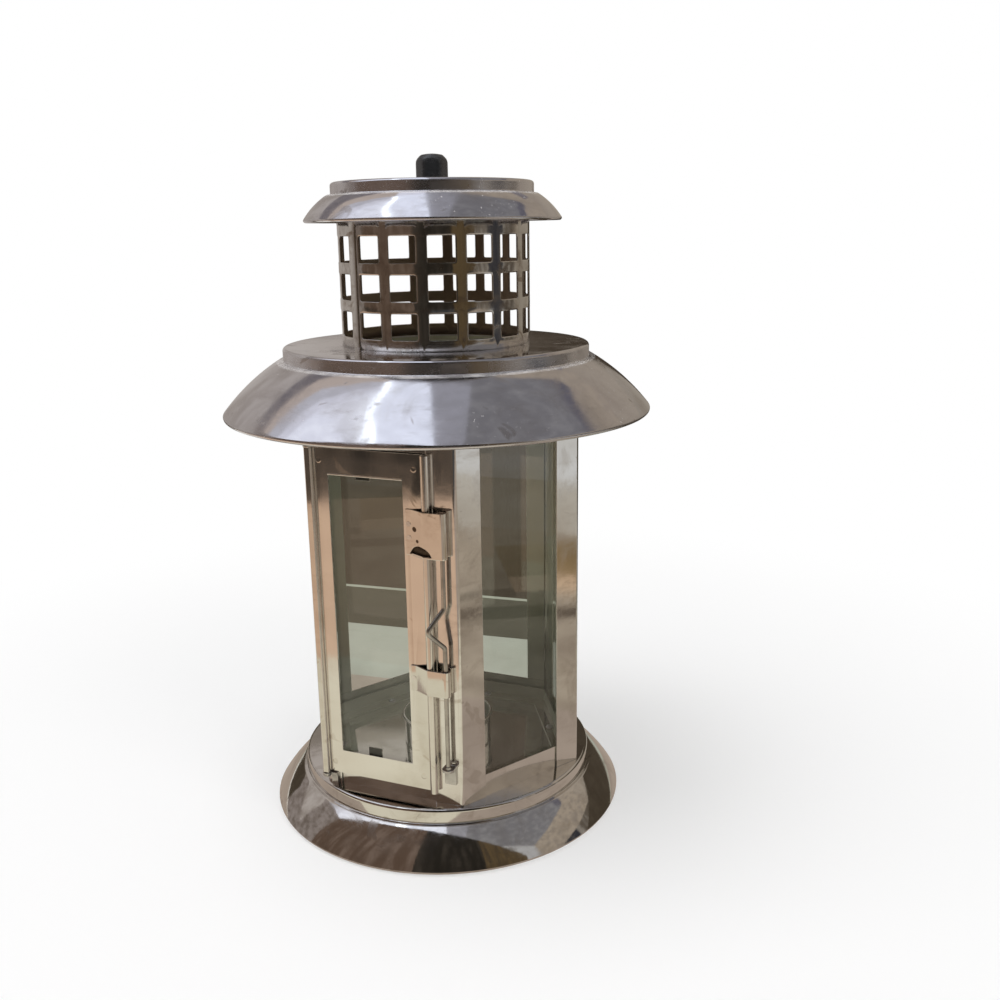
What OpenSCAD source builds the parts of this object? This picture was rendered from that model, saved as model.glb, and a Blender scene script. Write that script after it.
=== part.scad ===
// Six-sided candle lantern of polished sheet steel: a flared round roof with a punched vent
// chimney and a small cap, a glazed body on six corner posts, a hinged glass door with a wire
// bolt, and a flared round base with a candle cup.
// Millimetres, +Z up. The origin is the centre of the foot, and the door faces -Y.

/* [Body] */
// Distance from the axis to the corners of the six-sided body
body_r = 70.2; // [66:0.2:76]
// Height from the base deck to the rim of the roof
body_h = 172; // [160:1:200]
// Thickness of the sheet steel
sheet = 0.8; // [0.6:0.1:1]
// Flange width of a corner post
post_flange = 13.5; // [12:0.5:15]
// Flange width of the hinge post beside the doorway
hinge_flange = 7.5; // [6.5:0.5:8]
// Flange width of the latch post beside the doorway
latch_flange = 13.4; // [12:0.1:14.5]
// Outer bend radius of a corner post
post_bend = 2.4; // [1.6:0.2:3]
// Thickness of the glass
glass = 2; // [1.5:0.25:2.5]
// Height of the sill band at the foot of the panes
sill_h = 11; // [9:1:13]
// Height of the lip inside the sill that keeps the panes in
sill_lip = 7; // [4:1:9]
// Depth that the header band hangs below the roof rim
header_drop = 6; // [4:1:7]
// How far the fixed panes stand up above the roof rim
pane_rise = 18; // [12:1:22]

/* [Roof] */
// Radius of the roof at its rolled rim
roof_r = 100; // [94:1:115]
// Height of the roof from its rim to its flat top
roof_rise = 31.2; // [28:0.2:36]
// Height of the upright tier at the top of the roof
tier_h = 6; // [4:0.5:8]
// Width of the ledge below the tier
tier_ledge = 1.8; // [1:0.2:3]
// How far the flare bulges out from a straight cone
flare_bow = 1.6; // [0.5:0.1:3]
// Radius of the rolled bead on the rim
rim_bead = 1.2; // [1:0.1:1.6]

/* [Chimney] */
// Outer radius of the chimney
chimney_r = 43.9; // [42:0.1:46]
// Height of the chimney
chimney_h = 71.5; // [68:0.5:78]
// Number of columns of square holes
hole_columns = 16; // [12:1:16]
// Number of rows of square holes
hole_rows = 3; // [2:1:3]
// Width of a hole
hole_w = 12; // [9:0.5:13]
// Height of a hole
hole_h = 11.2; // [8:0.2:12]
// Height of the web between two rows
hole_web = 5.1; // [3:0.1:6]
// Height of the plain band under the lowest row
hole_band = 5.2; // [4:0.1:7]
// Width of the plain strip at the lapped seam
seam_w = 7.5; // [6:0.5:9]
// Place of the seam, turned from the door towards its latch side
seam_turn = -28.1; // [-60:0.1:0]

/* [Cap] */
// Gap between the chimney and the tier of the cap
cap_gap = 1.4; // [0.6:0.1:2]
// Drop from the flat top of the cap to its rim
cap_drop = 17.4; // [14:0.2:20]
// Height of the upright tier of the cap
cap_tier = 5.4; // [4:0.2:7]
// How far the rim of the cap stands out from its tier
cap_flare = 12.6; // [10:0.2:16]
// Radius of the rolled bead on the cap rim
cap_bead = 1; // [0.8:0.1:1.4]
// Width of the black knob across its flats
knob_flats = 13; // [11:0.5:15]
// Height of the knob
knob_h = 11.4; // [10:0.2:14]
// How far the knob is turned on its screw
knob_turn = 24; // [0:1:59]
// Radius of the screw that holds the knob
screw_r = 2.5; // [2:0.25:3]

/* [Door] */
// Height of the door above the base deck
door_lift = 6; // [5:0.5:8]
// Drop from the roof rim to the top of the door
door_drop = 9; // [8:0.5:12]
// Width of the stile on the hinge side
hinge_stile = 9.5; // [9:0.5:12]
// Width of the flat stile on the latch side
latch_stile = 11.3; // [10.5:0.1:12.5]
// Height of the top and bottom rails
door_rail = 11.8; // [11:0.2:14]
// Lap of the rolled edge past the edge of the doorway
door_lap = 0.6; // [0.2:0.1:1]
// Gap between the closed door and the posts
door_gap = 0.3; // [0.3:0.05:0.5]
// Distance of the hinge axis from the corner of the body
hinge_inset = 1; // [0.6:0.1:1.6]
// Radius of the hinge pin
pin_r = 1; // [0.8:0.1:1.2]
// Running gap round the hinge pin
pin_gap = 0.08; // [0.05:0.01:0.1]
// Thickness of the clips that hold the door pane
clip_t = 0.6; // [0.4:0.1:0.8]
// Width of a clip
clip_w = 7; // [5:0.5:9]

/* [Latch] */
// Radius of the bolt wire
bolt_r = 1; // [0.8:0.1:1.1]
// Gap between the bolt wire and its rolled guides
bolt_gap = 0.3; // [0.3:0.05:0.5]
// Bend radius of the bolt wire, at its centre line
bolt_bend = 2.5; // [2:0.1:3]
// Distance from the rolled edge of the door to the bolt
bolt_offset = 7.6; // [7:0.1:8]
// Drop from the roof rim to the top of the latch plate
latch_drop = 33; // [28:1:36]
// Height of the latch plate
latch_h = 20.5; // [18:0.5:22]
// Angle at which the latch plate climbs over the rolled edge
latch_ramp = 26; // [25:1:32]
// Radius of the half-moon window in the latch plate
moon_r = 6.2; // [5.8:0.1:6.4]
// Height of the strip under the half-moon window
moon_strip = 1; // [0.8:0.1:1.6]
// Length of wire between the latch plate and the finger bend
finger_drop = 22.5; // [20:0.5:26]
// Reach of the finger bend, sideways and up and down
finger_reach = 9; // [8:0.5:10]
// How far the finger bend is turned out from the door
finger_tilt = 55; // [40:1:70]
// Height of the lower guide
guide_h = 12; // [8:1:16]
// Travel of the bolt down into its keeper
bolt_travel = 9; // [7:0.5:10]
// Height of the keeper above the base deck
keeper_lift = 20; // [18:1:24]

/* [Base] */
// Height of the base up to its deck
base_h = 24; // [20:0.5:30]
// Height of the upright tier under the deck
base_tier = 7; // [5:0.5:9]
// How far the foot stands out from the tier
base_flare = 13.5; // [10:0.5:18]
// Width of the flat hem that the base stands on
foot_w = 7; // [5:0.5:9]
// Inner radius of the candle cup
cup_r = 21; // [19:0.5:24]
// Height of the candle cup
cup_h = 15; // [12:0.5:20]
// Radius of a rivet
rivet_r = 1.2; // [0.8:0.1:1.5]

/* [Hidden] */
$fn = 96;

// Clearances
seat_gap = 0.02;
pane_gap = 0.15;
pane_end_gap = 0.6;
corner_gap = 0.05;
tier_gap = 0.4;
lift_gap = 0.3;
seam_lift = 0.1;

// How far a cut runs past the faces that it opens
cut_past = 1;

// Wire: a bend stands a little proud of the straight runs, which end inside it
bend_swell = 0.02;
bend_grip = 0.2;

// Angles at which a rolled rim starts, on its outside, and ends, under the flare
roll_start = 40;
roll_end = -210;

// Levels
deck_z = base_h;
rim_z = deck_z + body_h;
disc_z = rim_z + roof_rise;
cap_z = disc_z + chimney_h + sheet;
header_top = disc_z - sheet;
header_bottom = rim_z - header_drop;
lip_lift = 2;

// Six-sided body: a side is as long as the corner radius
side = body_r;
half_turn = 30;
face_a = body_r * cos(half_turn);
wall_a = face_a - sheet;
pane_a = wall_a - sheet - pane_gap;
lip_a = pane_a - glass - pane_gap;
corner_r = body_r - post_bend / cos(half_turn) + post_bend - sheet - corner_gap;
pane_w = 2 * (pane_a - glass) * tan(half_turn) - 2 * pane_end_gap;

// Roof, cap and base radii
tier_r = body_r + tier_gap + sheet;
tier_round = 1.5;
smoke_ledge = 4.5;
smoke_r = chimney_r - sheet - smoke_ledge;
header_margin = 4;
header_hole = chimney_r + header_margin;
cap_tier_r = chimney_r + cap_gap + sheet;
cap_r = cap_tier_r + cap_flare;
washer_rim = 2;
washer_r = knob_flats / 2 + washer_rim;
washer_t = 0.8;
screw_reach = 0.6 * knob_h;
base_margin = 1.8;
base_tier_r = body_r + base_margin;
base_r = base_tier_r + tier_ledge + base_flare;
foot_round = 2.5;

// Rivets
head_r = 1.8 * rivet_r;
head_t = 0.9;
sill_flange = 10;
rivet_margin = 1;
sill_rivet_a = lip_a - sheet - head_r - rivet_margin;

// Door, measured from the hinge corner along the face (s), outward from the posts (f) and up
door_z0 = deck_z + door_lift;
door_z1 = rim_z - door_drop;
bore_r = pin_r + pin_gap;
roll_r = bore_r + sheet;
roll_f = door_gap + roll_r + seam_lift;
leaf_f = door_gap + sheet;
edge_s = side - latch_flange + door_lap;
open_s0 = hinge_stile;
open_s1 = edge_s - latch_stile;
open_z0 = door_z0 + door_rail;
open_z1 = door_z1 - door_rail;
stop_lip = 3;
stop_lap = 3;
stop_set = 0.2;
pane_side_gap = 1.1;
pane_lap = 4;
pane_set = 0.1;
pane_foot_gap = 2.3;
pane_head_gap = 3;
pane_s0 = hinge_flange + pane_side_gap;
pane_s1 = open_s1 + pane_lap;
pane_f = door_gap - pane_set;
door_pane_z0 = deck_z + sill_h + pane_foot_gap;
door_pane_z1 = door_z1 - stop_lip - pane_head_gap;
clip_land = 3;
clip_reach = 2;
side_clip_reach = 1;
clip_shift = 2;
clip_tongue = door_pane_z1 - open_z1 + clip_reach;

// Hinge brackets
bracket_t = 1.2;
bracket_r = roll_f - seam_lift;
bracket_leg = 5;
bracket_drop = 1;
leg_gap = 0.1;
pin_head = 0.8;
pin_head_r = 1.6 * pin_r;

// Latch
guide_r = bolt_r + bolt_gap + sheet;
latch_set = 0.2;
latch_f = roll_f + roll_r + latch_set;
bolt_s = edge_s + bolt_offset;
bolt_f = latch_f + sheet - guide_r;
latch_margin = 1.2;
latch_s0 = open_s1 + latch_margin;
latch_bend_s = edge_s - (roll_r + latch_set) * tan(latch_ramp / 2);
latch_land_s = latch_bend_s - (latch_f - leaf_f) / tan(latch_ramp);
latch_z1 = rim_z - latch_drop;
latch_z0 = latch_z1 - latch_h;
moon_set = 2.4;
moon_s = edge_s - moon_set;
moon_sink = 2.2;
moon_margin = 0.6;
finger_z1 = latch_z0 - finger_drop;
finger_z0 = finger_z1 - 2 * finger_reach;
guide_clear = 1;
guide_z1 = finger_z0 - bolt_travel - bolt_r - guide_clear;
guide_z0 = guide_z1 - guide_h;
keeper_t = 1.2;
keeper_leg = 9;
keeper_wall = 1.8;
keeper_r = bolt_r + keeper_wall;
keeper_z = deck_z + keeper_lift;
bolt_tip = keeper_z + lift_gap + bolt_r;
latch_rivet_r = 0.7;
latch_head_r = 1.1;
latch_head_t = 0.3;
latch_rivet_s = (latch_s0 + latch_land_s) / 2;
latch_rivet_drop = 6.5;
latch_rivet_pitch = 6;
latch_rivet_zs = [
    latch_z1 - latch_rivet_drop,
    latch_z1 - latch_rivet_drop - latch_rivet_pitch,
    guide_z0 + guide_h / 2
];

// Vectors and outlines
function unit(v) = v / norm(v);
function across(v) = [-v[1], v[0]];
function backward(list) = [for (i = [len(list) - 1 : -1 : 0]) list[i]];
function after_first(list) = [for (i = [1 : len(list) - 1]) list[i]];
// Offset direction at one point of an open outline, lengthened at a bend to keep the thickness
function mitre(points, i) =
    let (
        a = i > 0 ? across(unit(points[i] - points[i - 1])) : across(unit(points[1] - points[0])),
        b = i < len(points) - 1 ? across(unit(points[i + 1] - points[i])) : a
    ) (a + b) / (1 + a * b);
function shifted(points, d) = [for (i = [0 : len(points) - 1]) points[i] + d * mitre(points, i)];
// Points of a line that bulges to its left
function bowed(from, to, bow, steps) = [
    for (i = [0 : steps])
        let (t = i / steps) from + t * (to - from) + 4 * bow * t * (1 - t) * across(unit(to - from))
];
// Points of a round corner, from one angle to another
function arc(centre, radius, from, to, steps) = [
    for (i = [0 : steps])
        let (a = from + (to - from) * i / steps) centre + radius * [cos(a), sin(a)]
];

// Outside of a rim that is rolled under, from the end of the flare to its hidden edge
function rolled_rim(radius, z, bead) = arc([radius - bead, z + bead], bead, roll_start, roll_end, 12);

// Sheet that lies on the right of an open outline
module sheet_section(points, wall) {
    polygon(concat(points, backward(shifted(points, -wall))));
}

// Six-sided outline with flats of one distance from the axis, its corners clear of the post bends
module six_sided(flat) {
    intersection() {
        circle(r = flat / cos(half_turn), $fn = 6);
        circle(r = corner_r);
    }
}

module six_sided_band(flat, wall, z0, z1) {
    translate([0, 0, z0])
        linear_extrude(height = z1 - z0)
            difference() {
                six_sided(flat);
                circle(r = (flat - wall) / cos(half_turn), $fn = 6);
            }
}

// Moves (s, -f, z) of the door into the frame of the lantern
module on_door() {
    translate([-side / 2, -face_a, 0]) children();
}

module rivet(grip) {
    translate([0, 0, -grip - head_t]) cylinder(h = head_t, r = head_r);
    translate([0, 0, -grip - head_t]) cylinder(h = grip + 2 * head_t, r = rivet_r);
    cylinder(h = head_t, r1 = head_r, r2 = 0.6 * head_r);
}

// Base
module base_pan() {
    ledge_z = deck_z - base_tier;
    outline = concat(
        [[rivet_r + seat_gap, deck_z]],
        arc([base_tier_r - tier_round, deck_z - tier_round], tier_round, 90, 0, 6),
        [[base_tier_r, ledge_z]],
        bowed([base_tier_r + tier_ledge, ledge_z], [base_r, foot_round], flare_bow / 2, 8),
        arc([base_r - foot_round, foot_round], foot_round, -10, -90, 6),
        [[base_r - foot_w, 0]]
    );
    color("silver")
        difference() {
            rotate_extrude() sheet_section(outline, sheet);
            for (k = [0 : 5])
                rotate(60 * k + half_turn)
                    translate([sill_rivet_a, 0, deck_z - 2 * sheet])
                        cylinder(h = 3 * sheet, r = rivet_r + seat_gap);
        }
}

module candle_cup() {
    wall_r = cup_r + sheet;
    top_z = deck_z + cup_h;
    lip_r = sheet;
    color("gainsboro")
        rotate_extrude() {
            translate([rivet_r + seat_gap, deck_z]) square([wall_r - rivet_r - seat_gap, sheet]);
            translate([cup_r, deck_z]) square([sheet, cup_h - lip_r]);
            translate([wall_r, top_z - lip_r]) circle(r = lip_r);
        }
}

module cup_rivet() {
    color("gray")
        translate([0, 0, deck_z + sheet]) rivet(2 * sheet);
}

module sill_ring() {
    color("silver")
        difference() {
            union() {
                six_sided_band(wall_a, sheet, deck_z, deck_z + sill_h);
                six_sided_band(wall_a, sill_flange, deck_z, deck_z + sheet);
                six_sided_band(lip_a, sheet, deck_z, deck_z + sill_lip);
            }
            for (k = [0 : 5])
                rotate(60 * k + half_turn)
                    translate([sill_rivet_a, 0, deck_z - sheet])
                        cylinder(h = 3 * sheet, r = rivet_r + seat_gap);
        }
}

module sill_rivets() {
    color("gray")
        for (k = [0 : 5])
            rotate(60 * k + half_turn)
                translate([sill_rivet_a, 0, deck_z + sheet]) rivet(2 * sheet);
}

// Posts and panes
module post_section(flange_a, flange_b) {
    corner = [body_r, 0];
    along = [-sin(half_turn), cos(half_turn)];
    bend_centre = [body_r - post_bend / cos(half_turn), 0];
    outline = concat(
        [corner + flange_a * along],
        arc(bend_centre, post_bend, half_turn, -half_turn, 6),
        [corner + flange_b * [along[0], -along[1]]]
    );
    sheet_section(outline, sheet);
}

// Corner 5 is the hinge corner and corner 6 the latch corner: each has its own flange beside the doorway
module post(number) {
    flange_a = number == 5 ? hinge_flange : post_flange;
    flange_b = number == 6 ? latch_flange : post_flange;
    color("silver")
        translate([0, 0, deck_z])
            rotate(60 * (number - 1))
                linear_extrude(height = header_top - deck_z) post_section(flange_a, flange_b);
}

// The panes fill every side but the door's
module pane(number) {
    side_number = number < 5 ? number - 1 : 5;
    z0 = deck_z + sheet;
    color("lightcyan", 0.4)
        rotate(60 * side_number + half_turn)
            translate([pane_a - glass, -pane_w / 2, z0]) cube([glass, pane_w, rim_z + pane_rise - z0]);
}

module header_ring() {
    lip_z = rim_z + lip_lift;
    stop_w = side - hinge_flange - latch_flange + 2 * stop_lap;
    color("silver") {
        six_sided_band(wall_a, sheet, header_bottom, header_top);
        six_sided_band(lip_a, sheet, lip_z, header_top);
        translate([0, 0, header_top - sheet])
            linear_extrude(height = sheet)
                difference() {
                    six_sided(wall_a);
                    circle(r = header_hole);
                }
        on_door()
            translate([hinge_flange - stop_lap, sheet + stop_set, door_z1 - stop_lip])
                cube([stop_w, sheet, header_bottom - door_z1 + stop_lip + sheet]);
    }
}

// Hinge
module hinge_ear(z0) {
    translate([0, 0, z0])
        linear_extrude(height = bracket_t)
            difference() {
                union() {
                    translate([hinge_inset, -roll_f]) circle(r = bracket_r);
                    translate([hinge_inset, -roll_f]) square([bracket_leg, roll_f]);
                }
                translate([hinge_inset, -roll_f]) circle(r = pin_r + seat_gap);
            }
}

module hinge_bracket(ear_z, leg_z0, leg_z1) {
    leg_s = max(post_bend * tan(half_turn), hinge_inset + pin_head_r) + leg_gap;
    color("gray")
        on_door() {
            hinge_ear(ear_z);
            translate([leg_s, -bracket_t, leg_z0])
                cube([hinge_inset + bracket_leg - leg_s, bracket_t, leg_z1 - leg_z0]);
        }
}

module hinge_bracket_top() {
    ear_z = door_z1 + lift_gap;
    hinge_bracket(ear_z, ear_z, rim_z - bracket_drop);
}

module hinge_bracket_bottom() {
    ear_z = door_z0 - lift_gap - bracket_t;
    hinge_bracket(ear_z, deck_z, ear_z + bracket_t);
}

module hinge_pin() {
    low_z = door_z0 - lift_gap - bracket_t;
    high_z = door_z1 + lift_gap + bracket_t;
    color("dimgray")
        on_door()
            translate([hinge_inset, -roll_f, low_z - pin_head]) {
                cylinder(h = high_z - low_z + 2 * pin_head, r = pin_r);
                cylinder(h = pin_head, r = pin_head_r);
                translate([0, 0, high_z - low_z + pin_head]) cylinder(h = pin_head, r = pin_head_r);
            }
}

// Door
module rolled_edge(s) {
    translate([s, -roll_f])
        difference() {
            circle(r = roll_r);
            circle(r = bore_r);
        }
}

module door_frame() {
    color("tan")
        on_door()
            difference() {
                translate([0, 0, door_z0])
                    linear_extrude(height = door_z1 - door_z0) {
                        translate([hinge_inset, -leaf_f]) square([edge_s - hinge_inset, sheet]);
                        rolled_edge(hinge_inset);
                        rolled_edge(edge_s);
                    }
                translate([open_s0, -leaf_f - sheet, open_z0])
                    cube([open_s1 - open_s0, 3 * sheet, open_z1 - open_z0]);
                latch_rivet_holes();
                stile_window();
            }
}

module door_pane() {
    color("lightcyan", 0.4)
        on_door()
            translate([pane_s0, -pane_f, door_pane_z0])
                cube([pane_s1 - pane_s0, glass, door_pane_z1 - door_pane_z0]);
}

// Section of a clip: a pad on the frame, a step past the edge of the pane and a tongue behind it.
// The first axis runs from the edge of the pane onto the glass, the second into the lantern.
module clip_section(tongue) {
    back = glass + door_gap - pane_f;
    translate([-clip_land - clip_t, 0]) square([clip_land + clip_t, clip_t]);
    translate([-clip_t, 0]) square([clip_t, back + clip_t]);
    translate([-clip_t, back]) square([tongue + clip_t, clip_t]);
}

module clip(tongue) {
    translate([0, 0, -clip_w / 2])
        linear_extrude(height = clip_w) clip_section(tongue);
}

module door_clips() {
    mid_s = (open_s0 + open_s1) / 2 - clip_shift;
    mid_z = (door_pane_z0 + door_pane_z1) / 2;
    color("dimgray")
        on_door() {
            translate([mid_s, -door_gap, door_pane_z1]) rotate([0, 90, 0]) clip(clip_tongue);
            translate([mid_s, -door_gap, door_pane_z0]) rotate([0, -90, 0]) clip(clip_tongue);
            translate([pane_s1, -door_gap, mid_z]) mirror([1, 0, 0]) clip(pane_lap + side_clip_reach);
        }
}

// Latch
// Section of a latch sheet: flat on the stile, raised over the rolled edge, rolled under round the bolt
module latch_section() {
    outline = [
        [bolt_s, -latch_f],
        [latch_bend_s, -latch_f],
        [latch_land_s, -leaf_f],
        [latch_s0, -leaf_f]
    ];
    polygon(concat(outline, backward(shifted(outline, sheet))));
    translate([bolt_s, -bolt_f])
        difference() {
            circle(r = guide_r);
            circle(r = guide_r - sheet);
        }
}

module latch_rivet_holes() {
    for (z = latch_rivet_zs)
        translate([latch_rivet_s, 0, z])
            rotate([90, 0, 0]) cylinder(h = leaf_f + 2 * sheet, r = latch_rivet_r + seat_gap);
}

module half_moon() {
    translate([moon_s, 0, latch_z0 + moon_strip - moon_sink])
        intersection() {
            rotate([90, 0, 0]) cylinder(h = 2 * latch_f, r = moon_r);
            translate([-moon_r, -2 * latch_f, moon_sink]) cube([2 * moon_r, 2 * latch_f, moon_r]);
        }
}

// The window goes on through the flat of the stile, short of its rolled edge
module stile_window() {
    intersection() {
        half_moon();
        translate([open_s1, -2 * leaf_f, latch_z0])
            cube([edge_s - roll_r - moon_margin - open_s1, 2 * leaf_f, latch_h]);
    }
}

module latch_plate() {
    color("tan")
        on_door()
            difference() {
                translate([0, 0, latch_z0]) linear_extrude(height = latch_h) latch_section();
                half_moon();
                latch_rivet_holes();
            }
}

module bolt_guide() {
    color("tan")
        on_door()
            difference() {
                translate([0, 0, guide_z0]) linear_extrude(height = guide_h) latch_section();
                latch_rivet_holes();
            }
}

module latch_rivets() {
    color("gray")
        on_door()
            for (z = latch_rivet_zs)
                translate([latch_rivet_s, -door_gap, z])
                    rotate([90, 0, 0]) {
                        cylinder(h = 2 * sheet + latch_head_t, r = latch_rivet_r);
                        translate([0, 0, 2 * sheet]) cylinder(h = latch_head_t, r = latch_head_r);
                    }
}

// Straight run of wire from one point to another, in the plane of the first two axes
module wire_run(from, to, radius) {
    translate(concat(from, 0))
        rotate(atan2(to[1] - from[1], to[0] - from[0]))
            rotate([0, 90, 0]) cylinder(h = norm(to - from), r = radius);
}

// Length that a bend takes off each run at a corner
function bend_cut(before, corner, after, bend) =
    let (turn = acos(unit(corner - before) * unit(after - corner))) bend * tan(turn / 2);

// Bend of wire at a corner between two runs
module wire_bend(before, corner, after, bend, radius) {
    a = unit(before - corner);
    b = unit(after - corner);
    cut = bend_cut(before, corner, after, bend);
    centre = corner + unit(a + b) * norm([cut, bend]);
    left_turn = a[0] * b[1] - a[1] * b[0] < 0;
    start = corner + cut * (left_turn ? a : b) - centre;
    turn = acos(-(a * b));
    translate(concat(centre, 0))
        rotate(atan2(start[1], start[0]))
            rotate_extrude(angle = turn) translate([bend, 0]) circle(r = radius + bend_swell);
}

module bent_wire(points, bend, radius) {
    last = len(points) - 1;
    for (i = [1 : last - 1])
        wire_bend(points[i - 1], points[i], points[i + 1], bend, radius);
    for (i = [0 : last - 1]) {
        along = unit(points[i + 1] - points[i]);
        cut_a = i > 0 ? bend_cut(points[i - 1], points[i], points[i + 1], bend) - bend_grip : 0;
        cut_b = i < last - 1 ? bend_cut(points[i], points[i + 1], points[i + 2], bend) - bend_grip : 0;
        wire_run(points[i] + cut_a * along, points[i + 1] - cut_b * along, radius);
    }
    translate(concat(points[last], 0)) sphere(r = radius);
}

module latch_bolt() {
    route = [
        [0, latch_z1],
        [0, finger_z1],
        [-finger_reach, finger_z1 - finger_reach],
        [0, finger_z0],
        [0, bolt_tip]
    ];
    color("dimgray")
        on_door()
            translate([bolt_s, -bolt_f, 0])
                rotate(finger_tilt) rotate([90, 0, 0]) bent_wire(route, bolt_bend, bolt_r);
}

module bolt_keeper() {
    color("gray")
        on_door() {
            translate([0, 0, keeper_z - keeper_t])
                linear_extrude(height = keeper_t)
                    difference() {
                        union() {
                            translate([bolt_s, -bolt_f]) circle(r = keeper_r);
                            translate([bolt_s - keeper_r, -bolt_f]) square([2 * keeper_r, bolt_f]);
                        }
                        translate([bolt_s, -bolt_f]) circle(r = bolt_r + bolt_gap);
                    }
            translate([bolt_s - keeper_r, -keeper_t, keeper_z - keeper_leg])
                cube([2 * keeper_r, keeper_t, keeper_leg]);
        }
}

// Roof, chimney and cap
module roof_shell() {
    ledge_z = disc_z - tier_h;
    curl = rolled_rim(roof_r, rim_z, rim_bead);
    outline = concat(
        [[smoke_r, disc_z]],
        arc([tier_r - tier_round, disc_z - tier_round], tier_round, 90, 0, 6),
        [[tier_r, ledge_z]],
        bowed([tier_r + tier_ledge, ledge_z], curl[0], flare_bow, 12),
        after_first(curl)
    );
    color("lightsteelblue")
        rotate_extrude() sheet_section(outline, sheet);
}

// Wedge that keeps an arc of a ring, centred on the turn that the seam has
module seam_wedge(width) {
    reach = 2 * chimney_r;
    half = width / chimney_r * 90 / PI;
    polygon([[0, 0], [reach, -reach * tan(half)], [reach, reach * tan(half)]]);
}

module vent_chimney() {
    seam_arc = (hole_w + seam_w) / chimney_r * 180 / PI;
    pitch = (360 - seam_arc) / (hole_columns - 1);
    lap_w = 0.6 * seam_w;
    lap_t = 0.5 * sheet;
    color("silver")
        translate([0, 0, disc_z]) {
            difference() {
                cylinder(h = chimney_h, r = chimney_r);
                translate([0, 0, -cut_past]) cylinder(h = chimney_h + 2 * cut_past, r = chimney_r - sheet);
                for (column = [0 : hole_columns - 1], row = [0 : hole_rows - 1])
                    rotate(seam_turn - 90 + seam_arc / 2 + column * pitch)
                        translate([chimney_r - 2 * sheet, -hole_w / 2, hole_band + row * (hole_h + hole_web)])
                            cube([4 * sheet, hole_w, hole_h]);
            }
            rotate(seam_turn - 90)
                linear_extrude(height = chimney_h - cap_drop)
                    intersection() {
                        difference() {
                            circle(r = chimney_r + lap_t);
                            circle(r = chimney_r - sheet / 2);
                        }
                        seam_wedge(lap_w);
                    }
        }
}

module upper_cap() {
    ledge_z = cap_z - cap_tier;
    curl = rolled_rim(cap_r, cap_z - cap_drop, cap_bead);
    outline = concat(
        [[screw_r + seat_gap, cap_z]],
        arc([cap_tier_r - tier_round, cap_z - tier_round], tier_round, 90, 0, 6),
        [[cap_tier_r, ledge_z]],
        bowed([cap_tier_r + tier_ledge, ledge_z], curl[0], flare_bow / 2, 8),
        after_first(curl)
    );
    color("lightsteelblue")
        rotate_extrude() sheet_section(outline, sheet);
}

module knob_washer() {
    color("gray")
        translate([0, 0, cap_z])
            linear_extrude(height = washer_t)
                difference() {
                    circle(r = washer_r);
                    circle(r = screw_r + seat_gap);
                }
}

module knob_screw() {
    screw_head = 3;
    color("dimgray")
        translate([0, 0, cap_z - sheet]) {
            translate([0, 0, -screw_head]) cylinder(h = screw_head, r = 1.8 * screw_r);
            translate([0, 0, -screw_head])
                cylinder(h = screw_head + sheet + washer_t + screw_reach, r = screw_r);
        }
}

// Six-sided cap with a chamfered, slightly domed top and a blind hole for its screw
module cap_knob() {
    corner = knob_flats / 2 / cos(half_turn);
    chamfer = 0.22 * knob_h;
    top_r = 0.62 * corner;
    outline = [
        [0, 0],
        [corner + cut_past, 0],
        [corner + cut_past, knob_h - 1.8 * chamfer],
        [top_r, knob_h - 0.25 * chamfer],
        [0.5 * top_r, knob_h - 0.06 * chamfer],
        [0, knob_h]
    ];
    color("#1b1b1d")
        translate([0, 0, cap_z + washer_t])
            difference() {
                intersection() {
                    rotate(knob_turn) cylinder(h = knob_h, r = corner, $fn = 6);
                    rotate_extrude() polygon(outline);
                }
                translate([0, 0, -cut_past])
                    cylinder(h = cut_past + screw_reach + seat_gap, r = screw_r + seat_gap);
            }
}

base_pan();
candle_cup();
cup_rivet();
sill_ring();
sill_rivets();
for (number = [1 : 6])
    post(number);
for (number = [1 : 5])
    pane(number);
header_ring();
hinge_bracket_top();
hinge_bracket_bottom();
hinge_pin();
bolt_keeper();
door_frame();
door_pane();
door_clips();
latch_plate();
bolt_guide();
latch_rivets();
latch_bolt();
roof_shell();
vent_chimney();
upper_cap();
knob_washer();
knob_screw();
cap_knob();
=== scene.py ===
import math

import bmesh
import bpy
from mathutils import Matrix, Vector


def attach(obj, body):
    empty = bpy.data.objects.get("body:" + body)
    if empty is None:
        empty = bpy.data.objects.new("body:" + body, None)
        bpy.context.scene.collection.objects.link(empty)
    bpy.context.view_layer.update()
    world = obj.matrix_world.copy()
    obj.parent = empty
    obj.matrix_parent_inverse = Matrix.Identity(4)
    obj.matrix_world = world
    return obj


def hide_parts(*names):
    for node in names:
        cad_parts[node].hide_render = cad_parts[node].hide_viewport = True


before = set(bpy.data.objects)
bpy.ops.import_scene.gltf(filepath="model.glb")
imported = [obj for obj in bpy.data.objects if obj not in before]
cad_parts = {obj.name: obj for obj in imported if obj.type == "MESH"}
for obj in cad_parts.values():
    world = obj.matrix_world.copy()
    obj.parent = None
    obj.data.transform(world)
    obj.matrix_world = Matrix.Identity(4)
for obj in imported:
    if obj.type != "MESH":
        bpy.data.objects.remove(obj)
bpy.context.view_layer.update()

scene = bpy.context.scene
scene.view_settings.view_transform = "Standard"

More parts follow.
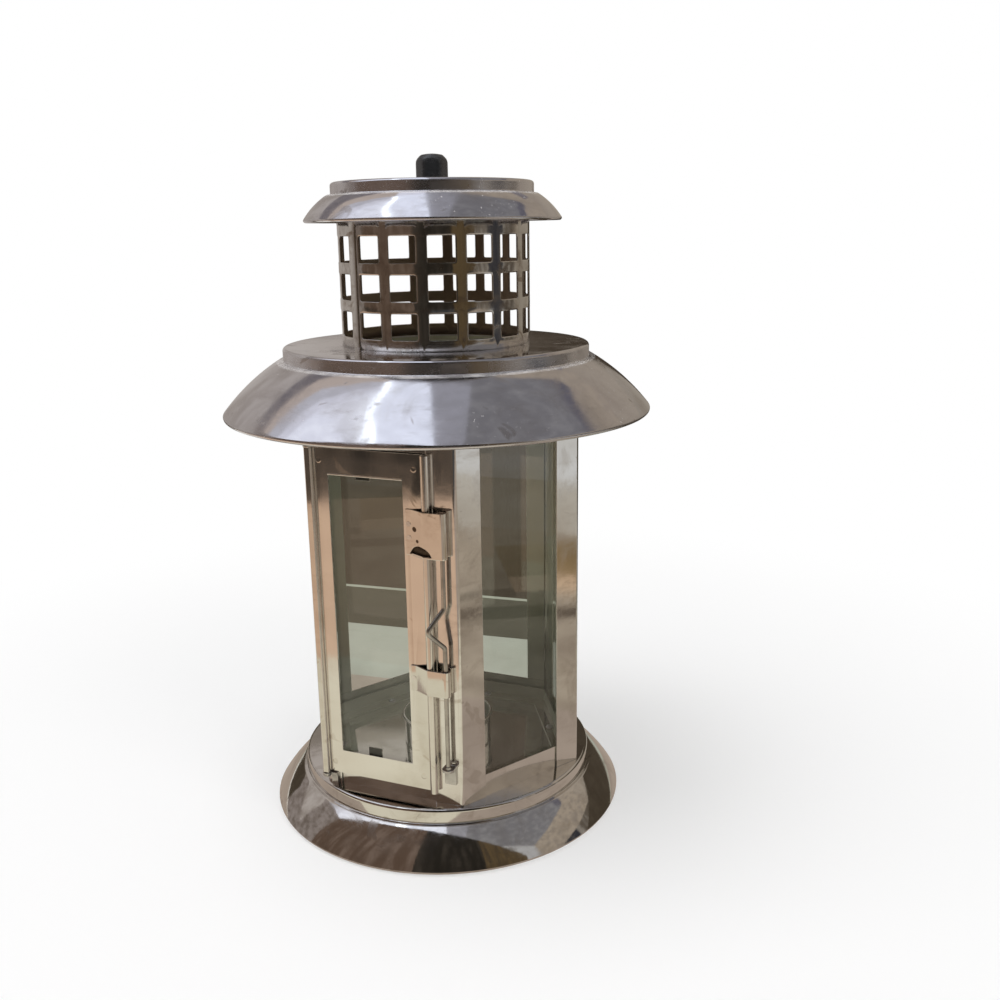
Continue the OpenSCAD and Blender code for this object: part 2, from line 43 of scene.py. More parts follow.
# Sizes in millimetres, as in the CAD model
MM = 0.001
SHEET = 0.8
BODY_R = 70.2
FACE_A = BODY_R * math.cos(math.radians(30))
DECK_Z = 24.0
RIM_Z = 196.0
DISC_Z = 227.2
CAP_Z = 299.5
TIER_LEDGE = 1.8
TIER_ROUND = 1.5
LEDGE_ROUND = 0.5
FLARE_ROUND = 1.4
# Drop of the pale line painted as a highlight under each ledge
LEDGE_HIGHLIGHT_DROP = 0.3
TIER_R = 71.4
ROOF_R = 100.0
TIER_H = 6.0
RIM_BEAD = 1.2
FLARE_BOW = 1.6
SMOKE_R = 38.6
CHIMNEY_R = 43.9
CHIMNEY_H = 71.5
HOLE_COLUMNS = 16
HOLE_ROWS = 3
HOLE_W = 12.0
HOLE_H = 11.2
HOLE_WEB = 5.1
HOLE_BAND = 5.2
HOLE_CORNER = 0.4
SEAM_W = 7.5
SEAM_TURN = -28.1
CAP_TIER_R = 46.1
CAP_R = 58.7
CAP_DROP = 17.4
CAP_TIER = 5.4
CAP_BEAD = 1.0
SCREW_R = 2.5
KNOB_FLATS = 13.0
KNOB_H = 11.4
KNOB_TURN = 24.0
KNOB_Z = 300.3
KNOB_FOOT = 0.6
KNOB_TOP = 5.0
KNOB_CLIMB = 4.4
KNOB_EASE = 0.6
KNOB_TAPER = 3.2
KNOB_SOFT = 0.9
BASE_TIER_R = 72.0
BASE_R = 87.3
BASE_TIER = 7.0
FOOT_W = 7.0
FOOT_ROUND = 2.5
CUP_R = 21.0
CUP_H = 15.0
CUP_ROUND = 1.0
RIVET_R = 1.2
SEAT_GAP = 0.02
LEAF_F = 1.1
ROLL_F = 2.28
ROLL_R = 1.88
PRESSED_R = 1.4
EDGE_S = 57.4
HINGE_S = 1.0
OPEN_S0 = 9.5
OPEN_S1 = 46.1
OPEN_Z1 = 175.2
HEM_R = 0.45
HEM_UP = 0.3
HEM_SINK = 0.05
LATCH_S0 = 47.3
LATCH_F = 4.36
LATCH_SET = 0.2
LATCH_RAMP = 26.0
LATCH_ROUND = 1.6
LATCH_STEP = 0.35
LATCH_Z0 = 142.5
LATCH_Z1 = 163.0
GUIDE_Z0 = 79.0
GUIDE_Z1 = 91.0
GUIDE_R = 2.1
BOLT_S = 65.0
BOLT_F = 3.06
STUD_RISE = 0.12
MOON_S = 55.0
MOON_R = 6.2
MOON_SINK = 2.2
MOON_STRIP = 1.0
# Gap and thickness of the dark sheet painted as shade under the latch plate
SHADE_SHEET_GAP = 0.04
SHADE_SHEET_T = 0.06


# Outlines, as lists of (radius, height)
def arc(centre, radius, start, end, steps):
    points = []
    for i in range(steps + 1):
        angle = math.radians(start + (end - start) * i / steps)
        points.append(Vector((centre[0] + radius * math.cos(angle), centre[1] + radius * math.sin(angle))))
    return points


def bowed(start, end, bow, steps):
    start = Vector(start)
    end = Vector(end)
    along = (end - start).normalized()
    left = Vector((-along.y, along.x))
    points = []
    for i in range(steps + 1):
        t = i / steps
        points.append(start.lerp(end, t) + 4 * bow * t * (1 - t) * left)
    return points


def fillet(before, corner, after, radius, steps):
    corner = Vector(corner)
    a = (Vector(before) - corner).normalized()
    b = (Vector(after) - corner).normalized()
    half = math.acos(max(-1.0, min(1.0, a.dot(b)))) / 2
    reach = radius / math.tan(half)
    start = corner + a * reach
    end = corner + b * reach
    points = []
    for i in range(steps + 1):
        t = i / steps
        points.append(start * (1 - t) ** 2 + corner * 2 * t * (1 - t) + end * t ** 2)
    return points


def shifted(points, distance):
    moved = []
    for i, point in enumerate(points):
        before = points[i] - points[i - 1] if i > 0 else points[1] - points[0]
        after = points[i + 1] - points[i] if i < len(points) - 1 else before
        before = before.normalized()
        after = after.normalized()
        a = Vector((-before.y, before.x))
        b = Vector((-after.y, after.x))
        moved.append(point + distance * (a + b) / (1 + a.dot(b)))
    return moved


# Pieces
SMOOTH_ANGLE = 35


def finish_mesh(mesh, sharp_angle):
    mesh.polygons.foreach_set("use_smooth", [True] * len(mesh.polygons))
    mesh.set_sharp_from_angle(angle=math.radians(sharp_angle))
    mesh.update()


def placed(name, data):
    item = bpy.data.objects.new(name, data)
    scene.collection.objects.link(item)
    return item


def add_piece(name, mesh, material, body, nodes):
    piece = placed(name, mesh)
    mesh.materials.append(material)
    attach(piece, body)
    if nodes:
        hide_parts(*nodes)
    return piece


def mesh_from(name, bm, sharp_angle=SMOOTH_ANGLE):
    bmesh.ops.recalc_face_normals(bm, faces=bm.faces)
    mesh = bpy.data.meshes.new(name)
    bm.to_mesh(mesh)
    bm.free()
    finish_mesh(mesh, sharp_angle)
    return mesh


# Place at a radius, an angle and a height round the axis
def on_ring(radius, angle, z):
    return (radius * math.cos(angle) * MM, radius * math.sin(angle) * MM, z * MM)


# Band of faces between two closed loops of vertices
def bridge(bm, a, b):
    for k in range(len(a)):
        n = (k + 1) % len(a)
        bm.faces.new((a[k], a[n], b[n], b[k]))


def lathe_mesh(name, outline, segments):
    bm = bmesh.new()
    rings = []
    for k in range(segments):
        angle = 2 * math.pi * k / segments
        rings.append([bm.verts.new(on_ring(point[0], angle, point[1])) for point in outline])
    for k in range(segments):
        bridge(bm, rings[k], rings[(k + 1) % segments])
    return mesh_from(name, bm)


# Limits for refining the mesh of a solid, in metres, square metres and degrees
MERGE = 2e-6
SMALL_FACE = 2e-6
SAME_PLANE = 0.5
GENTLE_BEND = 12
SHARP_BEND = 40


def refined_mesh(node, bevel):
    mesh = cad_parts[node].data.copy()
    mesh.materials.clear()
    if "custom_normal" in mesh.attributes:
        mesh.attributes.remove(mesh.attributes["custom_normal"])
    bm = bmesh.new()
    bm.from_mesh(mesh)
    bmesh.ops.remove_doubles(bm, verts=bm.verts, dist=MERGE)
    bmesh.ops.dissolve_limit(
        bm, angle_limit=math.radians(SAME_PLANE), use_dissolve_boundaries=False,
        verts=bm.verts, edges=bm.edges,
    )
    if bevel > 0:
        sharp = []
        for edge in bm.edges:
            if len(edge.link_faces) == 2 and edge.calc_face_angle() > math.radians(SHARP_BEND):
                sharp.append(edge)
        bmesh.ops.bevel(
            bm, geom=sharp, offset=bevel * MM, offset_type="OFFSET", segments=2, profile=0.5,
            affect="EDGES", clamp_overlap=True,
        )
    # Faces with no gentle bend at any edge stay flat in reflections
    flat = []
    for face in bm.faces:
        bends = [math.degrees(edge.calc_face_angle(0.0)) for edge in face.edges]
        no_gentle = all(bend < SAME_PLANE or bend > GENTLE_BEND for bend in bends)
        flat.append(no_gentle and face.calc_area() > SMALL_FACE)
    bm.to_mesh(mesh)
    bm.free()
    finish_mesh(mesh, SMOOTH_ANGLE)
    mesh.polygons.foreach_set("use_smooth", [not is_flat for is_flat in flat])
    mesh.update()
    return mesh


# Piece that follows a solid, with rounded edges
def add_refined(name, node, bevel, material, body):
    piece = add_piece(name, refined_mesh(node, bevel), material, body, [node])
    shading = piece.modifiers.new("shading", "WEIGHTED_NORMAL")
    shading.keep_sharp = True
    return piece


# Thickness of an open sheet, added behind its face
def thicken(piece, thickness):
    wall = piece.modifiers.new("wall", "SOLIDIFY")
    wall.thickness = thickness * MM
    wall.offset = -1.0


# Material nodes
class Surface:
    def __init__(self, name):
        self.material = bpy.data.materials.new(name)
        self.material.use_nodes = True
        self.tree = self.material.node_tree
        self.tree.nodes.clear()
        self.output = self.add("ShaderNodeOutputMaterial")
        self.shader = self.add("ShaderNodeBsdfPrincipled")
        self.link(self.shader.outputs["BSDF"], self.output.inputs["Surface"])
        coordinates = self.add("ShaderNodeTexCoord")
        self.place = coordinates.outputs["Object"]
        self.facing = coordinates.outputs["Normal"]

    def add(self, kind):
        return self.tree.nodes.new(kind)

    def link(self, output, socket):
        self.tree.links.new(output, socket)

    def feed(self, node, key, value):
        socket = node.inputs[key]
        if isinstance(value, bpy.types.NodeSocket):
            self.link(value, socket)
        else:
            socket.default_value = value

    def math(self, operation, a, b=0.0, c=0.0):
        node = self.add("ShaderNodeMath")
        node.operation = operation
        for key, value in enumerate((a, b, c)):
            self.feed(node, key, value)
        return node.outputs[0]

    def times(self, a, b):
        return self.math("MULTIPLY", a, b)

    # Value of the main shader
    def look(self, key, value):
        self.feed(self.shader, key, value)

    # One coordinate of a place or a direction
    def part(self, vector, axis):
        node = self.add("ShaderNodeSeparateXYZ")
        self.link(vector, node.inputs[0])
        return node.outputs[axis]

    # Second shader in place of the first where the share is one
    def blend(self, share, first, second):
        node = self.add("ShaderNodeMixShader")
        self.link(share, node.inputs["Fac"])
        self.link(first.outputs[0], node.inputs[1])
        self.link(second.outputs[0], node.inputs[2])
        self.link(node.outputs[0], self.output.inputs["Surface"])

    def stretch(self, scale, turn=(0, 0, 0)):
        node = self.add("ShaderNodeMapping")
        self.link(self.place, node.inputs["Vector"])
        node.inputs["Scale"].default_value = scale
        node.inputs["Rotation"].default_value = [math.radians(x) for x in turn]
        return node.outputs["Vector"]

    # Coordinates that run round the axis, so that a pattern can follow the spun sheet
    def rings(self, across, along):
        x = self.part(self.place, "X")
        y = self.part(self.place, "Y")
        z = self.part(self.place, "Z")
        squares = self.math("ADD", self.times(x, x), self.times(y, y))
        radius = self.math("SQRT", squares)
        angle = self.math("ARCTAN2", y, x)
        joined = self.add("ShaderNodeCombineXYZ")
        for axis, value, scale in (("X", radius, across), ("Y", angle, along), ("Z", z, across)):
            self.link(self.times(value, scale), joined.inputs[axis])
        return joined.outputs[0]

    def noise(self, vector, scale, detail=3.0, roughness=0.55, distortion=0.0):
        node = self.add("ShaderNodeTexNoise")
        self.link(vector, node.inputs["Vector"])
        values = {"Scale": scale, "Detail": detail, "Roughness": roughness, "Distortion": distortion}
        for key, value in values.items():
            node.inputs[key].default_value = value
        return node.outputs["Fac"]

    def remap(self, value, low, high, new_low=0.0, new_high=1.0):
        node = self.add("ShaderNodeMapRange")
        node.interpolation_type = "SMOOTHSTEP"
        keys = ("Value", "From Min", "From Max", "To Min", "To Max")
        for key, given in zip(keys, (value, low, high, new_low, new_high)):
            self.feed(node, key, given)
        return node.outputs["Result"]

    def mix(self, share, a, b):
        node = self.add("ShaderNodeMix")
        node.data_type = "RGBA"
        self.feed(node, 0, share)
        self.feed(node, 6, a)
        self.feed(node, 7, b)
        return node.outputs[2]

    def bump(self, height, distance, below=None):
        node = self.add("ShaderNodeBump")
        node.inputs["Distance"].default_value = distance
        node.inputs["Strength"].default_value = 1.0
        self.link(height, node.inputs["Height"])
        if below is not None:
            self.link(below, node.inputs["Normal"])
        return node.outputs["Normal"]

    # One on faces that look at the axis of the lantern, where the sheet isn't polished and is given a colour
    # painted as shade
    def faces_axis(self):
        flat = self.add("ShaderNodeVectorMath")
        flat.operation = "MULTIPLY"
        self.link(self.place, flat.inputs[0])
        flat.inputs[1].default_value = (1, 1, 0)
        outward = self.add("ShaderNodeVectorMath")
        outward.operation = "DOT_PRODUCT"
        self.link(flat.outputs["Vector"], outward.inputs[0])
        self.link(self.facing, outward.inputs[1])
        return self.remap(outward.outputs["Value"], -0.01, -0.005, 1.0, 0.0)

    # One to the left of a place across the door
    def left_of(self, place):
        return self.remap(self.part(self.place, "X"), place - 0.2 * MM, place + 0.2 * MM, 1.0, 0.0)

    # One at a height, falling off to zero within a line's width
    def near_height(self, height):
        off = self.math("ABSOLUTE", self.math("SUBTRACT", self.part(self.place, "Z"), height))
        return self.remap(off, 0.2 * MM, 0.7 * MM, 1.0, 0.0)

    def worn_edges(self):
        node = self.add("ShaderNodeNewGeometry")
        return self.remap(node.outputs["Pointiness"], 0.52, 0.6)


# Polished sheet: stain is the colour of smudges, gloss the least roughness, haze what marks add to it,
# wave the depth of dents, inner the colour painted as shade on the faces that look inward, which are also
# duller, rolled the places of the door's rolled edges
def steel(
    name, colour, stain, gloss, haze, wave, spun=False, smudge_scale=40.0, blotch=0.45, inner=None,
    rolled=None,
):
    surface = Surface(name)
    surface.look("Metallic", 1.0)
    smudge = surface.remap(surface.noise(surface.place, smudge_scale, 5, 0.62, 0.6), 0.46, 0.72)
    wipes = surface.noise(surface.stretch((60, 60, 260), (20, 35, 10)), 1.0, 3, 0.6)
    wipes = surface.remap(wipes, 0.52, 0.74)
    specks = surface.remap(surface.noise(surface.place, 620, 2, 0.5), 0.7, 0.8)
    if spun:
        lines = surface.noise(surface.rings(1100, 5), 1.0, 3, 0.6)
    else:
        lines = surface.noise(surface.stretch((1500, 1500, 30)), 1.0, 3, 0.6)
    scuffs = surface.remap(lines, 0.5, 0.8)
    spots = surface.noise(surface.stretch((48, 48, 70)), 1.0, 3, 0.55, 1.2)
    spots = surface.remap(spots, 0.63, 0.70)
    worn = surface.worn_edges()
    rough = surface.math("MULTIPLY_ADD", smudge, haze, gloss)
    for mark, share in ((wipes, 0.45), (scuffs, 0.4), (specks, 0.45), (spots, 1.2), (worn, 0.75)):
        rough = surface.math("ADD", rough, surface.times(mark, share * haze))
    film = surface.math("MULTIPLY_ADD", smudge, blotch, surface.times(wipes, 0.25))
    film = surface.math("MAXIMUM", film, surface.times(spots, 0.8))
    tone = surface.mix(film, (*colour, 1), (*stain, 1))
    tone = surface.mix(surface.times(worn, 0.5), tone, (0.9, 0.88, 0.86, 1))
    if inner is not None:
        # Inward faces: colour painted as shade, and a duller finish
        inside_shade = surface.faces_axis()
        tone = surface.mix(inside_shade, tone, (*inner, 1))
        rough = surface.math("MAXIMUM", rough, surface.times(inside_shade, 0.5))
    if rolled is not None:
        rounded = surface.remap(surface.part(surface.facing, "Y"), -0.99, -0.94)
        hinge_edge = surface.times(surface.left_of(rolled[0]), rounded)
        latch_edge = surface.math("SUBTRACT", 1.0, surface.left_of(rolled[1]))
        rough = surface.math("MAXIMUM", rough, surface.times(hinge_edge, 0.36))
        rough = surface.math("MAXIMUM", rough, surface.times(latch_edge, 0.16))
    if spun:
        # Upright walls are duller; dust lies in specks all over, and the pale lines along the ledges are a
        # painted highlight, drawn as dust
        rise = surface.math("ABSOLUTE", surface.part(surface.facing, "Z"))
        rough = surface.math("ADD", rough, surface.remap(rise, 0.2, 0.45, 0.16, 0.0))
        dust_and_highlight = surface.remap(surface.noise(surface.place, 900, 2, 0.5, 0.4), 0.66, 0.74)
        patch = surface.remap(surface.noise(surface.place, 34, 3, 0.6), 0.45, 0.7, 0.05, 0.5)
        dust_and_highlight = surface.times(dust_and_highlight, patch)
        uneven = surface.remap(surface.noise(surface.place, 120, 3, 0.6), 0.3, 0.7, 0.2, 0.65)
        # Pale lines just under the ledges: painted highlight
        for ledge_z in (DISC_Z - TIER_H, CAP_Z - CAP_TIER):
            ledge_highlight = surface.times(surface.near_height((ledge_z - LEDGE_HIGHLIGHT_DROP) * MM), uneven)
            dust_and_highlight = surface.math("MAXIMUM", dust_and_highlight, ledge_highlight)
        surface.look("Metallic", surface.math("SUBTRACT", 1.0, dust_and_highlight))
        tone = surface.mix(dust_and_highlight, tone, (0.6, 0.58, 0.56, 1))
    surface.look("Roughness", rough)
    surface.look("Base Color", tone)
    dents = surface.bump(surface.noise(surface.place, 26, 1, 0.4), wave)
    ripple = surface.bump(surface.noise(surface.place, 150, 2, 0.5), wave * 0.06, dents)
    surface.look("Normal", surface.bump(lines, 0.000004, ripple))
    return surface.material


def plain_steel(name, colour, gloss):
    surface = Surface(name)
    surface.look("Metallic", 1.0)
    grain = surface.noise(surface.stretch((900, 900, 90)), 1.0, 4, 0.6)
    patches = surface.noise(surface.place, 160, 4, 0.6)
    rough = surface.math("MULTIPLY_ADD", patches, 0.25, gloss)
    surface.look("Roughness", surface.math("MULTIPLY_ADD", grain, 0.1, rough))
    worn = surface.worn_edges()
    stain = [0.45 * part for part in colour]
    bright = [min(0.8, 1.4 * part) for part in colour]
    dull = surface.mix(surface.remap(patches, 0.4, 0.75, 0.0, 0.6), (*colour, 1), (*stain, 1))
    surface.look("Base Color", surface.mix(worn, dull, (*bright, 1)))
    surface.look("Normal", surface.bump(grain, 0.000015))
    return surface.material


def black_plastic(name):
    surface = Surface(name)
    grain = surface.noise(surface.place, 1600, 3, 0.6)
    rubbed = surface.noise(surface.place, 240, 4, 0.6)
    surface.look("Roughness", surface.remap(rubbed, 0.35, 0.75, 0.2, 0.42))
    pale = surface.remap(rubbed, 0.45, 0.8, 0.0, 0.5)
    tone = surface.mix(pale, (0.024, 0.025, 0.027, 1), (0.055, 0.056, 0.06, 1))
    worn = surface.times(surface.worn_edges(), 0.3)
    surface.look("Base Color", surface.mix(worn, tone, (0.08, 0.08, 0.085, 1)))
    surface.look("Normal", surface.bump(grain, 0.00003))
    return surface.material


def clear_glass(name):
    surface = Surface(name)
    surface.look("Transmission Weight", 1.0)
    surface.look("IOR", 1.5)
    surface.look("Roughness", 0.0)
    film = surface.noise(surface.stretch((14, 14, 40), (0, 25, 0)), 1.0, 4, 0.6)
    film = surface.remap(film, 0.35, 0.75)
    tint = surface.mix(film, (0.95, 0.965, 0.95, 1), (0.90, 0.925, 0.90, 1))
    surface.look("Base Color", tint)
    surface.look("Normal", surface.bump(surface.noise(surface.place, 12, 1, 0.4), 0.00001))
    clear = surface.add("ShaderNodeBsdfTransparent")
    clear.inputs["Color"].default_value = (0.9, 0.94, 0.92, 1)
    path = surface.add("ShaderNodeLightPath")
    lamp_ray = surface.math("MAXIMUM", path.outputs["Is Shadow Ray"], path.outputs["Is Diffuse Ray"])
    surface.blend(lamp_ray, surface.shader, clear)
    return surface.material


ROOF_STEEL = steel("roof_steel", (0.70, 0.69, 0.72), (0.46, 0.43, 0.42), 0.085, 0.14, 0.0002, spun=True)
# Chimney: its inside is painted a darker brown as shade
CHIMNEY_STEEL = steel(
    "chimney_steel", (0.66, 0.64, 0.61), (0.30, 0.235, 0.18), 0.09, 0.14, 0.0005,
    smudge_scale=75.0, blotch=0.8, inner=(0.36, 0.29, 0.22),
)
# Frame: its inside faces are painted a greenish grey as shade
FRAME_STEEL = steel(
    "frame_steel", (0.76, 0.74, 0.72), (0.52, 0.48, 0.44), 0.045, 0.09, 0.00025,
    smudge_scale=75.0, blotch=0.6, inner=(0.66, 0.68, 0.60),
)
DOOR_LOOK = ((0.74, 0.71, 0.67), (0.56, 0.50, 0.44), 0.04, 0.06, 0.0001)
DOOR_STEEL = steel("door_steel", *DOOR_LOOK)

# Door leaf: its two rolled edges are duller than its flat face
LEAF_STEEL = steel(
    "leaf_steel", *DOOR_LOOK,
    rolled=((HINGE_S + ROLL_R - BODY_R / 2) * MM, (EDGE_S - ROLL_R - BODY_R / 2) * MM),
)
STUD_STEEL = plain_steel("stud_steel", (0.66, 0.63, 0.59), 0.03)
HARDWARE_STEEL = plain_steel("hardware_steel", (0.55, 0.54, 0.53), 0.14)
WIRE_STEEL = plain_steel("wire_steel", (0.5, 0.48, 0.45), 0.14)
# Dark colour of the sheet under the latch plate: painted shade
PAINTED_SHADE_STEEL = plain_steel("painted_shade_steel", (0.09, 0.068, 0.05), 0.45)
DARK_MARK_STEEL = plain_steel("dark_mark_steel", (0.2, 0.135, 0.095), 0.35)
BLACK_PLASTIC = black_plastic("black_plastic")
CLEAR_GLASS = clear_glass("clear_glass")


# Spun pieces
def spun(name, outline, material, slot, node, segments=192):
    closed = outline + list(reversed(shifted(outline, -SHEET)))
    add_piece(name, lathe_mesh(name, closed, segments), material, "lantern", [node])


def rolled_rim(radius, z, bead):
    return arc((radius - bead, z + bead), bead, 40, -210, 20)


def tiered_outline(inner, top_z, tier_r, tier_h, curl, bow):
    ledge_z = top_z - tier_h
    foot = (tier_r, ledge_z)
    flare_start = (tier_r + TIER_LEDGE, ledge_z)
    flare = bowed(flare_start, curl[0], bow, 28)
    outline = [Vector((inner, top_z))]
    outline += arc((tier_r - TIER_ROUND, top_z - TIER_ROUND), TIER_ROUND, 90, 0, 8)
    outline += fillet((tier_r, top_z), foot, flare_start, LEDGE_ROUND, 4)
    outline += fillet(foot, flare_start, flare[3], FLARE_ROUND, 6)
    outline += flare[2:]
    outline += curl[1:]
    return outline


roof_rim = rolled_rim(ROOF_R, RIM_Z, RIM_BEAD)
roof_outline = tiered_outline(SMOKE_R, DISC_Z, TIER_R, TIER_H, roof_rim, FLARE_BOW)
spun("roof", roof_outline, ROOF_STEEL, "roof_steel", "roof_shell")
cap_rim = rolled_rim(CAP_R, CAP_Z - CAP_DROP, CAP_BEAD)
cap_outline = tiered_outline(SCREW_R + SEAT_GAP, CAP_Z, CAP_TIER_R, CAP_TIER, cap_rim, FLARE_BOW / 2)
spun("cap", cap_outline, ROOF_STEEL, "roof_steel", "upper_cap")
base_foot = arc((BASE_R - FOOT_ROUND, FOOT_ROUND), FOOT_ROUND, -10, -90, 8) + [Vector((BASE_R - FOOT_W, 0))]
base_outline = tiered_outline(RIVET_R + SEAT_GAP, DECK_Z, BASE_TIER_R, BASE_TIER, base_foot, FLARE_BOW / 2)
spun("base", base_outline, FRAME_STEEL, "frame_steel", "base_pan")

# Candle cup with a rolled lip
cup_wall = CUP_R + SHEET
cup_top = DECK_Z + CUP_H
cup_floor = DECK_Z + SHEET
cup_outline = [Vector((RIVET_R + SEAT_GAP, cup_floor)), Vector((CUP_R - CUP_ROUND, cup_floor))]
cup_outline += arc((CUP_R - CUP_ROUND, cup_floor + CUP_ROUND), CUP_ROUND, -60, 0, 4)
cup_outline += arc((cup_wall, cup_top - SHEET), SHEET, 180, -90, 14)
cup_outline += [Vector((cup_wall, cup_top - 2 * SHEET - 0.1))]
cup_outline += arc((cup_wall - CUP_ROUND, DECK_Z + CUP_ROUND), CUP_ROUND, 0, -90, 4)
cup_outline += [Vector((RIVET_R + SEAT_GAP, DECK_Z))]
add_piece(
    "cup", lathe_mesh("cup", cup_outline, 96), FRAME_STEEL, "lantern", ["candle_cup"]
)


# Chimney: a rolled sheet with rows of punched holes, flat between the columns, and a lapped seam
def rounded_box(half_w, half_h, corner, side_counts):
    points = []
    corners = [(-1, -1), (1, -1), (1, 1), (-1, 1)]
    for i in range(4):
        # A side runs from the middle of one rounding to the middle of the next
        path = []
        for j, first in ((i, 225), (i + 1, 180)):
            sign_x, sign_y = corners[j % 4]
            centre = (sign_x * (half_w - corner), sign_y * (half_h - corner))
            path += arc(centre, corner, first + 90 * j, first + 90 * j + 45, 3)
        lengths = [0.0]
        for a, b in zip(path, path[1:]):
            lengths.append(lengths[-1] + (b - a).length)
        count = side_counts[i % 2]
        for k in range(count):
            target = lengths[-1] * k / count
            j = max(n for n in range(len(lengths)) if lengths[n] <= target + 1e-9)
            j = min(j, len(path) - 2)
            span = lengths[j + 1] - lengths[j]
            t = (target - lengths[j]) / span if span > 1e-9 else 0.0
            points.append(path[j].lerp(path[j + 1], t))
    return points


def plain_box(low_x, high_x, low_y, high_y, side_counts):
    ends = [(low_x, low_y), (high_x, low_y), (high_x, high_y), (low_x, high_y)]
    points = []
    for i in range(4):
        a = Vector(ends[i])
        b = Vector(ends[(i + 1) % 4])
        for k in range(side_counts[i % 2]):
            points.append(a.lerp(b, k / side_counts[i % 2]))
    return points


# Loops of vertices round a hole: margin, and sink of the edge
HOLE_LOOPS = ((0.7, 0.0), (0.25, 0.05), (0.0, 0.2))


def chimney_mesh():
    hole_half = math.degrees(math.asin(HOLE_W / 2 / CHIMNEY_R))
    seam_arc = math.degrees((HOLE_W + SEAM_W) / CHIMNEY_R)
    pitch = (360 - seam_arc) / (HOLE_COLUMNS - 1)
    strip = pitch - 2 * hole_half
    strip_r = CHIMNEY_R * math.cos(math.radians(strip / 2))
    per_degree = CHIMNEY_R * math.pi / 180
    counts = (12, 10)
    bm = bmesh.new()

    def place(turn, z, sink, centre):
        # A strip between two columns of holes is flat, and the web above a hole keeps the bend
        from_hole = abs(turn - centre) - hole_half
        radius = CHIMNEY_R
        if from_hole > 0:
            radius = strip_r / math.cos(math.radians(strip / 2 - from_hole))
        angle = math.radians(turn + SEAM_TURN - 90)
        return bm.verts.new(on_ring(radius - sink, angle, DISC_Z + z))

    edges_z = [0.0]
    for row in range(1, HOLE_ROWS):
        edges_z.append(HOLE_BAND + row * (HOLE_H + HOLE_WEB) - HOLE_WEB / 2)
    edges_z.append(CHIMNEY_H)
    for column in range(HOLE_COLUMNS):
        centre = seam_arc / 2 + column * pitch
        for row in range(HOLE_ROWS):
            middle_z = HOLE_BAND + row * (HOLE_H + HOLE_WEB) + HOLE_H / 2
            cell = plain_box(centre - pitch / 2, centre + pitch / 2, edges_z[row], edges_z[row + 1], counts)
            loops = [[place(p.x, p.y, 0.0, centre) for p in cell]]
            for margin, sink in HOLE_LOOPS:
                box = rounded_box(HOLE_W / 2 + margin, HOLE_H / 2 + margin, HOLE_CORNER + margin, counts)
                loops.append([place(centre + p.x / per_degree, middle_z + p.y, sink, centre) for p in box])
            for outer, inner in zip(loops, loops[1:]):
                bridge(bm, outer, inner)
    seam_low = seam_arc / 2 + (HOLE_COLUMNS - 1) * pitch + pitch / 2 - 360
    seam_high = seam_arc / 2 - pitch / 2
    seam_zs = []
    for row in range(HOLE_ROWS):
        for k in range(counts[1]):
            seam_zs.append(edges_z[row] + (edges_z[row + 1] - edges_z[row]) * k / counts[1])
    seam_zs.append(CHIMNEY_H)
    grid = []
    for i in range(5):
        turn = seam_low + (seam_high - seam_low) * i / 4
        radius = strip_r if i in (0, 4) else CHIMNEY_R
        angle = math.radians(turn + SEAM_TURN - 90)
        grid.append([bm.verts.new(on_ring(radius, angle, DISC_Z + z)) for z in seam_zs])
    for a, b in zip(grid, grid[1:]):
        for k in range(len(seam_zs) - 1):
            bm.faces.new((a[k], b[k], b[k + 1], a[k + 1]))
    bmesh.ops.remove_doubles(bm, verts=bm.verts, dist=5e-6)
    return mesh_from("chimney", bm, 40)


chimney = add_piece(
    "chimney", chimney_mesh(), CHIMNEY_STEEL, "lantern", ["vent_chimney"]
)
thicken(chimney, SHEET)


# Lap strip of the seam, with softened edges
def seam_mesh():
    half = 0.3 * SEAM_W / CHIMNEY_R
    low = CHIMNEY_R - 0.1
    high = CHIMNEY_R + 0.5 * SHEET
    height = CHIMNEY_H - CAP_DROP
    edge = [(1, low), (1, high - 0.2), (0.96, high - 0.05), (0.9, high)]
    section = [(-share * half, radius) for share, radius in edge]
    section += [((-0.9 + 1.8 * i / 8) * half, high) for i in range(1, 8)]
    section += [(share * half, radius) for share, radius in reversed(edge)]
    middle = math.radians(SEAM_TURN - 90)
    bm = bmesh.new()
    rows = []
    for k in range(25):
        z = DISC_Z + height * k / 24
        rows.append([bm.verts.new(on_ring(radius, turn + middle, z)) for turn, radius in section])
    for a, b in zip(rows, rows[1:]):
        bridge(bm, a, b)
    bm.faces.new(rows[0])
    bm.faces.new(rows[-1])
    return mesh_from("chimney_seam", bm, 40)


add_piece("chimney_seam", seam_mesh(), CHIMNEY_STEEL, "lantern", [])


